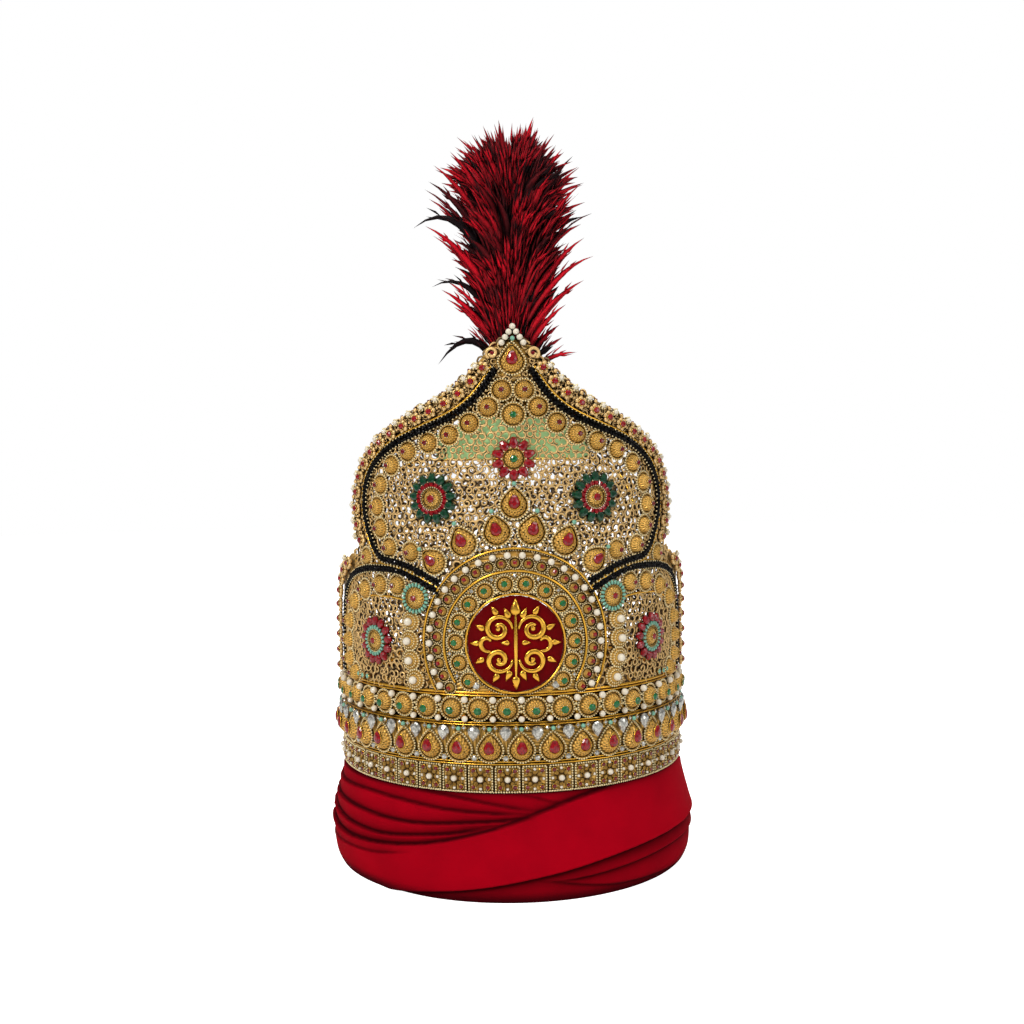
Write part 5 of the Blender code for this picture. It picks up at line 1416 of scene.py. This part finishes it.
class CROWN_OT_settings(Maker):
    """Settings on the front wall: drops, flowers, rosettes, bead discs, studs and single discs"""

    bl_idname = "crown.settings"
    bl_label = "Wall settings"

    def make(self, sizes):
        """One unit for each kind, spread to the places of the solid pieces."""
        seed = sizes.seed_pitch / MM
        tear_unit = join(tear(5.8, 0.32, seed, 2.5, 3.4, 0.05),
                         spread(ball(1.15, "turquoise", 8, 6), [(0.0, 10.0)], lifts=2.0))
        tears = [("tear_mount_top", (0.0, 214.4), 0.0)]
        for sign, side in ((-1, "left"), (1, "right")):
            for number, place, tip in ((1, (9.3, 200.0), (11.3, 208.5)), (2, (27.5, 194.0), (30.9, 202.4)),
                                       (3, (44.4, 183.6), (50.9, 189.3))):
                turn = -math.atan2(sign * (tip[0] - place[0]), tip[1] - place[1])
                tears.append(("tear_mount_{}_{}".format(side, number), (sign * place[0], place[1]), turn))
        for node, place, turn in tears:
            size = 1.05 if node.endswith("_3") else 1.14
            form = spread(tear_unit, [place], turns=turn, sizes=size, lifts=1.0)
            make_piece(node.replace("mount", "setting"), form, (node,))
        # Small stones between the drops, and along the foot of the side lobes.
        feet = [(18.6, 190.6), (5.0, 192.0), (37.0, 186.4), (22.6, 188.0), (48.0, 176.6), (34.0, 187.6)]
        blue = [(96.0, 116.4), (101.5, 116.2), (107.0, 116.4), (112.5, 116.2)]
        form = both(join(
            spread(crowned_stone(1.15, 0.9, "clear_stone", 4), feet, lifts=0.8),
            spread(crowned_stone(1.4, 1.0, "turquoise", 6), blue, lifts=1.4)))
        make_piece("foot_stones", form)

        centre = disc(5.2, 2.5, "green_stone", 2.0, seed)
        petals = flower(10, 13.0, 4.9, 7.6, "red_stone")
        form = spread(join(petals, lifted(centre, 1.0)), [place_of("flower_top")], lifts=0.8)
        make_piece("top_flower", form, ("flower_top",))

        square = turned(((0, 1.0), (0.9, 1.0), (1.5, 0.5), (1.5, -0.3), (0, -0.3)), 4, "red_stone",
                        TURN / 8)
        ring, squares = petals_at(6.9, 18)
        side_flower = join(
            flower(13, 13.6, 4.4, 6.6, "leaf_stone"),
            spread(square, ring, turns=squares, lifts=1.7),
            turned(((0, 1.6), (8.0, 1.6), (8.3, 1.0), (8.3, -0.3), (0, -0.3)), 24, "granulated"),
            seeds(circle(8.1, 48), 0.42, 1.2, lift=1.8), seeds(circle(5.6, 36), 0.4, 1.15, lift=1.9),
            lifted(dome(4.3, 1.4, 18, 0.5), 1.5),
            lifted(crowned_stone(1.9, 1.1, "red_stone"), 2.7))
        barrels = np.arange(22) * TURN / 22
        barrel = ball(0.86, "turquoise", 6, 4)
        barrel = barrel._replace(points=barrel.points * (1.65, 1, 1))
        rosette = join(
            flower(13, 13.8, 4.5, 6.0, "red_stone"),
            spread(barrel, circle(7.2, 22), turns=barrels, lifts=1.9),
            turned(((0, 1.6), (7.8, 1.5), (8.2, 0.9), (8.2, -0.3), (0, -0.3)), 24, "granulated"),
            seeds(circle(6.1, 36), 0.4, 1.15, lift=1.8),
            lifted(dome(4.6, 1.8, 18, 0.5), 1.3),
            lifted(crowned_stone(1.7, 1.1, "red_stone"), 2.9))
        bead_disc = join(
            turned(((0, 1.4), (7.0, 1.3), (7.4, 0.8), (7.4, -0.3), (0, -0.3)), 24, "granulated"),
            spread(barrel, circle(6.8, 22), turns=barrels, lifts=1.6),
            seeds(circle(7.6, 40), 0.42, 1.2, lift=0.9),
            lifted(dome(4.9, 2.0, 18, 0.5), 1.0),
            lifted(crowned_stone(1.6, 1.1, "red_stone"), 2.8))
        stud = join(
            turned(((0, 2.6), (1.4, 2.6), (1.9, 2.4), (2.3, 2.0), (3.1, 1.9), (3.5, 1.7), (3.6, 1.3),
                    (4.3, 1.2), (4.8, 1.0), (4.9, 0.6), (5.1, -0.3), (0, -0.3)), 18, "granulated"),
            seeds(circle(3.2, 24), 0.4, 1.15, lift=2.0), seeds(circle(4.7, 30), 0.5, 1.3, lift=1.2),
            lifted(ball(1.9, "pearl", 12, 8), 3.3))
        notch = disc(4.6, 2.6, "red_stone", 1.3, seed)
        for side in ("left", "right"):
            for label, node, unit, slot, lift, grow in (
                    ("side_flower_", "flower_", side_flower, "green_stone", 0.6, 1.12),
                    ("red_rosette_", "rosette_", rosette, "red_stone", 0.7, 1.05),
                    ("bead_ring_disc_", "bead_disc_", bead_disc, "gold", 0.6, 1.08),
                    ("low_disc_", "notch_disc_", notch, "gold", 0.5, 1.0)):
                form = spread(unit, [place_of(node + side)], sizes=grow, lifts=lift)
                make_piece(label + side, form, (node + side,))
            for number in range(1, 5):
                node = "stud_{}_{}".format(side, number)
                form = spread(stud, [place_of(node)], sizes=1.17, lifts=0.4)
                make_piece("pearl_" + node, form, (node,))
        form = spread(disc(5.4, 3.0, "green_stone", 1.8, seed), [place_of("centre_disc")], lifts=0.7)
        make_piece("green_centre_disc", form, ("centre_disc",))
        row_unit = disc(4.7, 4.8, "dark_stone", 1.4, seed)
        side_unit = disc(4.9, 5.0, "dark_stone", 1.4, seed)
        for name, places, node, unit in (("lobe_discs_", LOBE_DISCS, "lobe_disc_row_", row_unit),
                                         ("side_discs_", SIDE_DISCS, "side_disc_row_", side_unit)):
            for sign, side in ((-1, "left"), (1, "right")):
                spots = np.array(places) * (0.96 * sign, 1)
                make_piece(name + side, spread(unit, spots, lifts=0.5), (node + side,))


class CROWN_OT_apex(Maker):
    """Point of the crown: the drop setting, its pearls and its two scrolls"""

    bl_idname = "crown.apex"
    bl_label = "Apex"

    def make(self, sizes):
        """Drop over a plate, with a C scroll on each side and the pearls in a roof above it."""
        form = spread(tear(6.2, 0.4, sizes.seed_pitch / MM, 2.9, 3.6), [APEX], lifts=0.9)
        z = np.linspace(280.0, 303.0, 20)
        half = np.interp(z, (280, 288, 295, 300, 303), (8.5, 9.5, 9.0, 5.5, 2.5))
        plate = between(np.column_stack((-half, z)), np.column_stack((half, z)), -1.4, 0.3, "granulated")
        t = np.linspace(0, 1, 18)
        angle = math.radians(-60) + 1.15 * TURN * t
        reach = 3.1 * (1 - 0.55 * t)
        path = np.stack((11.0 + reach * np.cos(angle), 295.2 + reach * np.sin(angle), 1.2 + 0 * t), axis=1)
        scroll = swept(path, wire(1.0, 6), "filigree")
        stones = both(spread(gem(1.7, 1.2, "dark_stone", 8), [(10.6, 295.0)], lifts=0.8))
        form = join(form, plate, both(scroll), stones)
        make_piece("apex_setting", form, ("apex_mount",))
        k = np.arange(4)
        right = np.stack((1.9 * k, 309.2 - 2.85 * k), axis=1)
        left = right[1:] * (-1, 1)
        stem = between([(-1.0, 296.0), (-1.0, 309.0)], [(1.0, 296.0), (1.0, 309.0)], -0.8, 0.6, "gilt")
        arms = both(swept(raised(right + (0.0, -0.3), 0.3), wire(0.55, 6), "gilt"))
        form = join(
            spread(ball(1.72, "pearl", 12, 8), np.vstack((right, left)), lifts=1.9),
            spread(ball(1.35, "turquoise", 10, 6), [(0.0, 302.9)], lifts=1.8), stem, arms)
        make_piece("point_pearls", form, ("apex_pearls",))


class CROWN_OT_bead_strings(Maker):
    """Lines of faceted black beads between rows of cream granules"""

    bl_idname = "crown.bead_strings"
    bl_label = "Bead strings"

    def string(self, path, size, source):
        """Two staggered rows of black beads with a row of granules on each side."""
        rows = []
        for k, offset in enumerate((-0.8, 0.8)):
            places, turns = paced(beside(path, offset), 2.0, inset=0.5 + 1.0 * k)
            shake = source.uniform(-0.4, 0.4, places.shape)
            bend = np.radians((0, 35, 80, 125, 180))
            profile = np.stack((size * np.sin(bend), size * 0.95 * np.cos(bend)), axis=1)
            unit = turned(profile, 6, "black_bead")
            count = len(places)
            rows.append(spread(
                unit, places + shake, turns=source.uniform(0, TURN, count),
                sizes=source.uniform(0.8, 1.25, count), lifts=source.uniform(1.1, 1.7, count)))
        for offset in (-2.0, 2.0):
            rows.append(seeds(beside(path, offset), 0.5, 2.4, closed=False, lift=1.7))
        return join(*rows)

    def make(self, sizes):
        """Both lines and their mirror images."""
        size = sizes.black_bead / MM
        source = np.random.default_rng(31)
        for name, path, node in (("bead_string_", bead_line(), "bead_line_"),
                                 ("side_bead_string_", side_bead_line(), "side_bead_line_")):
            form = self.string(path, size, source)
            make_piece(name + "right", form, (node + "right",))
            make_piece(name + "left", mirrored(form), (node + "left",))


class CROWN_OT_border(Maker):
    """Border outside the bead lines: small flower settings and spiky pearls on the rim"""

    bl_idname = "crown.border"
    bl_label = "Border"

    def make(self, sizes):
        """Flower settings at 0.58 of the way from line to rim and pearls at 0.93."""
        source = np.random.default_rng(41)
        line = smooth(shares(LOBE_LINE[6:], LOBE_HALF_WIDTH, WALL_HEIGHT), 1.4, 4)
        edge = smooth(shares(LOBE_EDGE[:-2], LOBE_HALF_WIDTH, WALL_HEIGHT), 1.4, 4)
        line, edge = even(line, 120), even(edge, 120)
        middle = line + 0.58 * (edge - line)
        rim = line + 0.93 * (edge - line)
        side_middle = np.vstack((arch(6.8, 62, 0, 40), [(142.8, 114.5)]))
        side_rim = np.vstack((arch(11.0, 58, 0, 40), [(147.0, 114.0)]))
        angle = np.arange(6) * TURN / 6
        lobes = np.stack((1.9 * np.cos(angle), 1.9 * np.sin(angle)), axis=1)
        setting = join(
            spread(ball(1.6, "filigree", 8, 4, 0.8), lobes * 1.15, lifts=0.8),
            spread(ball(0.42, "seed", 4, 3), lobes * 1.8, lifts=1.4),
            lifted(crowned_stone(1.7, 1.4, "red_stone"), 2.1))
        pearl = join(
            ball(1.45, "pearl", 8, 6, 1.0, 1.2),
            spread(ball(0.75, "seed", 5, 3), circle(1.6, 6), lifts=1.0))
        pitch = 9.6
        for name, path, outer, rise in (("lobe_border", middle, rim, 0.6),
                                        ("side_border", side_middle, side_rim, 2.2)):
            places, turns = paced(path, pitch, inset=2.0)
            halves = (places[1:] + places[:-1]) / 2
            pearls, _ = paced(outer, pitch, inset=2.0)
            pearl_halves = (pearls[1:] + pearls[:-1]) / 2
            scroll = filigree(np.vstack((path, outer[::-1])), [], 1.6, 3.1, 0.85, 42, lift=0.4, steps=8)
            form = join(
                spread(setting, places, turns=turns, lifts=0.3),
                spread(pearl, pearls + source.uniform(-0.5, 0.5, pearls.shape), lifts=0.6),
                spread(ball(1.3, "filigree", 8, 4), pearl_halves, lifts=1.0),
                spread(ball(0.8, "dark_stone", 6, 4), pearl_halves + (0.7, 1.0), lifts=0.6),
                spread(ball(0.95, "filigree", 6, 4), halves, lifts=0.8),
                scroll)
            make_piece(name, lifted(both(form), rise))


class CROWN_OT_plume(Maker):
    """Plume of crimson and black hackle feathers over the point"""

    bl_idname = "crown.plume"
    bl_label = "Plume"

    def feathers(self, root, tip, bend, tone, width, source):
        """Feathers as one form: a quadratic curve from root to tip carries a blade and pointed barbs."""
        count, steps, barbs = len(root), 9, 5
        t = np.linspace(0, 1, steps)[None, :, None]
        path = (1 - t) ** 2 * root[:, None] + 2 * t * (1 - t) * bend[:, None] + t ** 2 * tip[:, None]
        along = np.gradient(path, axis=1)
        along /= np.linalg.norm(along, axis=2, keepdims=True)
        away = source.normal(size=(count, 1, 3)) * (0.5, 0.5, 0.2) + (0.0, -1.0, 0.1)
        across = np.cross(along, away)
        across /= np.linalg.norm(across, axis=2, keepdims=True)
        up = np.cross(across, along)
        share = t[..., 0]
        half = width[:, None] * 2.6 * share ** 0.6 * (1 - share) ** 1.2 + 0.05
        loop = np.array([(1.0, 0.0), (0.0, 0.22), (-1.0, 0.0), (0.0, -0.22)])
        blade = path[:, :, None] + half[:, :, None, None] * (
            loop[None, None, :, :1] * across[:, :, None] + loop[None, None, :, 1:] * up[:, :, None])
        blade[:, 0] = path[:, :1]
        blade[:, -1] = path[:, -1:]
        index = np.arange(count * steps * 4).reshape(count, steps, 4)
        index = np.concatenate((index, index[:, :, :1]), axis=2)
        corners = (index[:, :-1, :-1], index[:, 1:, :-1], index[:, 1:, 1:], index[:, :-1, 1:])
        faces = np.stack(corners, axis=-1)
        faces[:, 0, :, 0] = index[:, 0, :1]
        faces[:, 0, :, 3] = index[:, 0, :1]
        faces[:, -1, :, 1] = index[:, -1, :1]
        faces[:, -1, :, 2] = index[:, -1, :1]
        first = faces[:, 0][..., [1, 2, 3, 3]]
        last = faces[:, -1][..., [0, 1, 3, 3]]
        faces = np.concatenate((first.reshape(-1, 4), faces[:, 1:-1].reshape(-1, 4), last.reshape(-1, 4)))
        tones = np.repeat(tone[:, None], steps * 4, axis=1)
        shares_along = np.repeat(np.repeat(t[0, :, 0][None], count, axis=0), 4, axis=1)
        local = np.stack((shares_along, tones, 0 * tones), axis=-1).reshape(-1, 3)
        form = Form(blade.reshape(-1, 3), faces, np.full(len(faces), kind("feather")), local)

        parts = [form]
        for side in (-1.0, 1.0):
            mark = np.linspace(0.12, 0.68, barbs)[None] + source.uniform(-0.03, 0.03, (count, barbs))
            spot = np.clip(mark, 0, 1) * (steps - 1)
            low = np.minimum(spot.astype(int), steps - 2)
            rest = (spot - low)[..., None]
            row = np.arange(count)[:, None]
            start = path[row, low] * (1 - rest) + path[row, low + 1] * rest
            ahead, sideways, lift = along[row, low], across[row, low] * side, up[row, low]
            lean = np.radians(source.uniform(7, 17, (count, barbs)))[..., None]
            taper = np.sin(math.pi * np.clip(0.25 + 0.7 * mark, 0, 1))[..., None]
            longer = source.uniform(0, 1.8, (count, barbs))[..., None]
            length = width[:, None, None] * (2.2 + longer) * (0.35 + taper)
            direction = np.cos(lean) * ahead + np.sin(lean) * sideways + 0.12 * source.normal(
                size=(count, barbs, 1)) * lift
            end = start + length * direction
            middle = start + 0.45 * length * direction + 0.06 * length * sideways
            thick = (0.2 + 0.16 * width)[:, None, None]
            ring = [middle + thick * sideways, middle + 0.4 * thick * lift, middle - thick * sideways,
                    middle - 0.4 * thick * lift]
            points = np.stack([start] + ring + [end], axis=2)
            base = (np.arange(count * barbs) * 6)[:, None, None]
            corners = np.array([(0, 2, 1), (0, 3, 2), (0, 4, 3), (0, 1, 4),
                                (5, 1, 2), (5, 2, 3), (5, 3, 4), (5, 4, 1)])
            three = corners[:, [0, 2, 1, 1] if side > 0 else [0, 1, 2, 2]]
            faces = (three[None] + base).reshape(-1, 4)
            local = np.stack((
                np.repeat(np.clip(mark, 0, 1)[..., None], 6, axis=2) + np.linspace(0, 0.1, 6),
                np.repeat(np.repeat(tone[:, None], barbs, axis=1)[..., None], 6, axis=2)
                + source.uniform(-0.1, 0.15, (count, barbs, 1)),
                np.zeros((count, barbs, 6))), axis=-1).reshape(-1, 3)
            parts.append(Form(points.reshape(-1, 3), faces, np.full(len(faces), kind("feather")), local))
        return join(*parts)

    def make(self, sizes):
        """Tips lie at 0.45 to 1.05 of the outline's half width; each feather runs there from the core."""
        source = np.random.default_rng(51)
        table = np.array(PLUME_WIDTH, float)
        depth, count = PLUME_DEPTH, sizes.feathers
        level = 292 + 122 * source.uniform(0, 1, count) ** 0.85
        around = source.uniform(0, TURN, count)
        reach = np.interp(level, table[:, 0], table[:, 1])
        reach = reach * (0.45 + 0.6 * source.uniform(0, 1, count) ** 0.55)
        tip = np.stack((reach * np.cos(around), depth + 0.42 * reach * np.sin(around), level), axis=1)
        length = np.clip(source.uniform(34, 60, count), None, (level - 281) * 1.3 + 6)
        lean = np.clip(reach / np.maximum(length, 1), 0, 0.8)
        foot = np.clip(level - length * np.sqrt(1 - lean ** 2), 279, 386)
        root = np.stack((0.16 * tip[:, 0], depth + 0.2 * (tip[:, 1] - depth), foot), axis=1)
        rise = tip[:, 2] - root[:, 2]
        bend = root + np.stack((
            0.2 * (tip[:, 0] - root[:, 0]), 0.24 * (tip[:, 1] - root[:, 1]), 0.78 * rise), axis=1)
        tone = np.where(source.uniform(0, 1, count) < 0.24, source.uniform(0.6, 1, count),
                        source.uniform(0, 0.45, count))
        width = source.uniform(2.4, 4.4, count)
        body = self.feathers(root, tip, bend, tone, width, source)
        make_piece("plume_hackles", body, ("plume",), wall=False)
        long = np.array(LONG_FEATHERS, float)
        tip = np.stack((long[:, 0], depth + source.uniform(-12, 4, len(long)), long[:, 1]), axis=1)
        stretch = np.clip(0.42 * (long[:, 1] - 281) + 20, 20, 62)
        foot = np.clip(long[:, 1] - stretch * 0.9 + long[:, 3], 280, 365)
        root = np.stack((0.12 * tip[:, 0], np.full(len(long), depth - 4.0), foot), axis=1)
        rise = np.maximum(tip[:, 2] - root[:, 2], 6) + 2.2 * long[:, 3]
        bend = root + np.stack((0.42 * (tip[:, 0] - root[:, 0]), 0.5 * (tip[:, 1] - root[:, 1]),
                                0.74 * rise + 0.6 * long[:, 3]), axis=1)
        width = np.where(long[:, 2] > 0.7, 2.6, 2.4)
        outer = self.feathers(root, tip, bend, long[:, 2], width, source)
        make_piece("plume_long_feathers", outer, wall=False)
        dress("plume_holder", "gilt")


class CROWN_OT_stage(bpy.types.Operator):
    """Pale floor, soft studio lights and the camera"""

    bl_idname = "crown.stage"
    bl_label = "Stage"
    bl_options = {"REGISTER", "UNDO"}

    def light(self, name, place, size, power, tint):
        """Square soft light at a place, turned to the aim."""
        lamp = bpy.data.lights.new(name, "AREA")
        lamp.size, lamp.energy, lamp.color = size, power, tint
        from_aim = np.array(place, float) - np.array(AIM, float)
        flat = math.hypot(from_aim[0], from_aim[1])
        put(name, lamp).matrix_world = (
            Matrix.Translation(place)
            @ Matrix.Rotation(math.atan2(from_aim[0], -from_aim[1]), 4, "Z")
            @ Matrix.Rotation(math.atan2(flat, from_aim[2]), 4, "X"))

    def floor(self):
        """Round floor that looks white, and gives its light to the camera alone."""
        mesh = bpy.data.meshes.new("floor")
        ring = circle(4.0, 64)
        mesh.from_pydata([(x, y, 0.0) for x, y in ring], [], [tuple(range(len(ring)))])
        material, tree, shader = new_material("pale_floor")
        pale, paler = rgba(linear("#F1F0EE")), rgba(linear("#F7F6F4"))
        plug(tree, shader, {
            "Base Color": blend_colours(tree, clouds(tree, 3.0)["Fac"], paler, pale),
            "Roughness": 0.75, "Emission Color": WHITE,
            "Emission Strength": add(tree, "LightPath").outputs["Is Camera Ray"]})
        mesh.materials.append(material)
        put("floor", mesh)

    def world(self):
        """Soft grey light, brighter from above, that looks white to the camera."""
        world = bpy.data.worlds.new("studio")
        world.use_nodes = True
        tree = world.node_tree
        tree.nodes.clear()
        direction = add(tree, "TexCoord").outputs["Generated"]
        height = add(tree, "SeparateXYZ", {0: direction}).outputs["Z"]
        share = ranged(tree, height, -0.1, 0.8)
        sky = blend_colours(tree, share, (0.1, 0.1, 0.105, 1.0), (0.52, 0.52, 0.53, 1.0))
        sky = blend_colours(tree, add(tree, "LightPath").outputs["Is Camera Ray"], sky, WHITE)
        back = add(tree, "Background", {"Color": sky, "Strength": 1.0})
        add(tree, "OutputWorld", {"Surface": back.outputs[0]})
        return world

    def camera(self, lens_length):
        """Camera at the photo's angle."""
        lens = bpy.data.cameras.new("camera")
        lens.lens, lens.sensor_width, lens.clip_start = lens_length, 36.0, 0.02
        camera = put("camera", lens)
        around = math.radians(CAMERA_AROUND)
        place = (CAMERA_DISTANCE * math.sin(around), -CAMERA_DISTANCE * math.cos(around), CAMERA_HEIGHT)
        camera.matrix_world = (
            Matrix.Translation(place)
            @ Matrix.Rotation(around - math.radians(CAMERA_YAW), 4, "Z")
            @ Matrix.Rotation(math.radians(90 - CAMERA_PITCH), 4, "X")
            @ Matrix.Rotation(math.radians(CAMERA_ROLL), 4, "Z"))
        return camera

    def execute(self, context):
        scene = context.scene
        self.floor()
        scene.world = self.world()
        scene.view_settings.view_transform = "Standard"
        for light in LIGHTS:
            self.light(*light)
        scene.camera = self.camera(scene.crown_sizes.lens)
        return {"FINISHED"}


MAKERS = (
    CROWN_OT_wound_cloth, CROWN_OT_squares_band, CROWN_OT_drops_band, CROWN_OT_discs_band,
    CROWN_OT_front_wall, CROWN_OT_back_wall, CROWN_OT_backing, CROWN_OT_medallion, CROWN_OT_settings,
    CROWN_OT_apex, CROWN_OT_bead_strings, CROWN_OT_border, CROWN_OT_plume, CROWN_OT_stage,
)


class CROWN_PT_panel(bpy.types.Panel):
    """Sizes, colours and pieces of the crown"""

    bl_idname = "CROWN_PT_panel"
    bl_label = "Crown"
    bl_space_type = "VIEW_3D"
    bl_region_type = "UI"
    bl_category = "Crown"

    def draw(self, context):
        for group in (context.scene.crown_sizes, context.scene.crown_colours):
            for name in group.__annotations__:
                self.layout.prop(group, name)
        for maker in MAKERS:
            self.layout.operator(maker.bl_idname)


CLASSES = (CrownSizes, CrownColours, *MAKERS, CROWN_PT_panel)


def register():
    for item in CLASSES:
        bpy.utils.register_class(item)
    bpy.types.Scene.crown_sizes = PointerProperty(type=CrownSizes)
    bpy.types.Scene.crown_colours = PointerProperty(type=CrownColours)


def unregister():
    del bpy.types.Scene.crown_colours
    del bpy.types.Scene.crown_sizes
    for item in reversed(CLASSES):
        bpy.utils.unregister_class(item)


def main():
    register()
    for maker in MAKERS:
        group, name = maker.bl_idname.split(".")
        getattr(getattr(bpy.ops, group), name)()


if __name__ == "__main__":
    main()
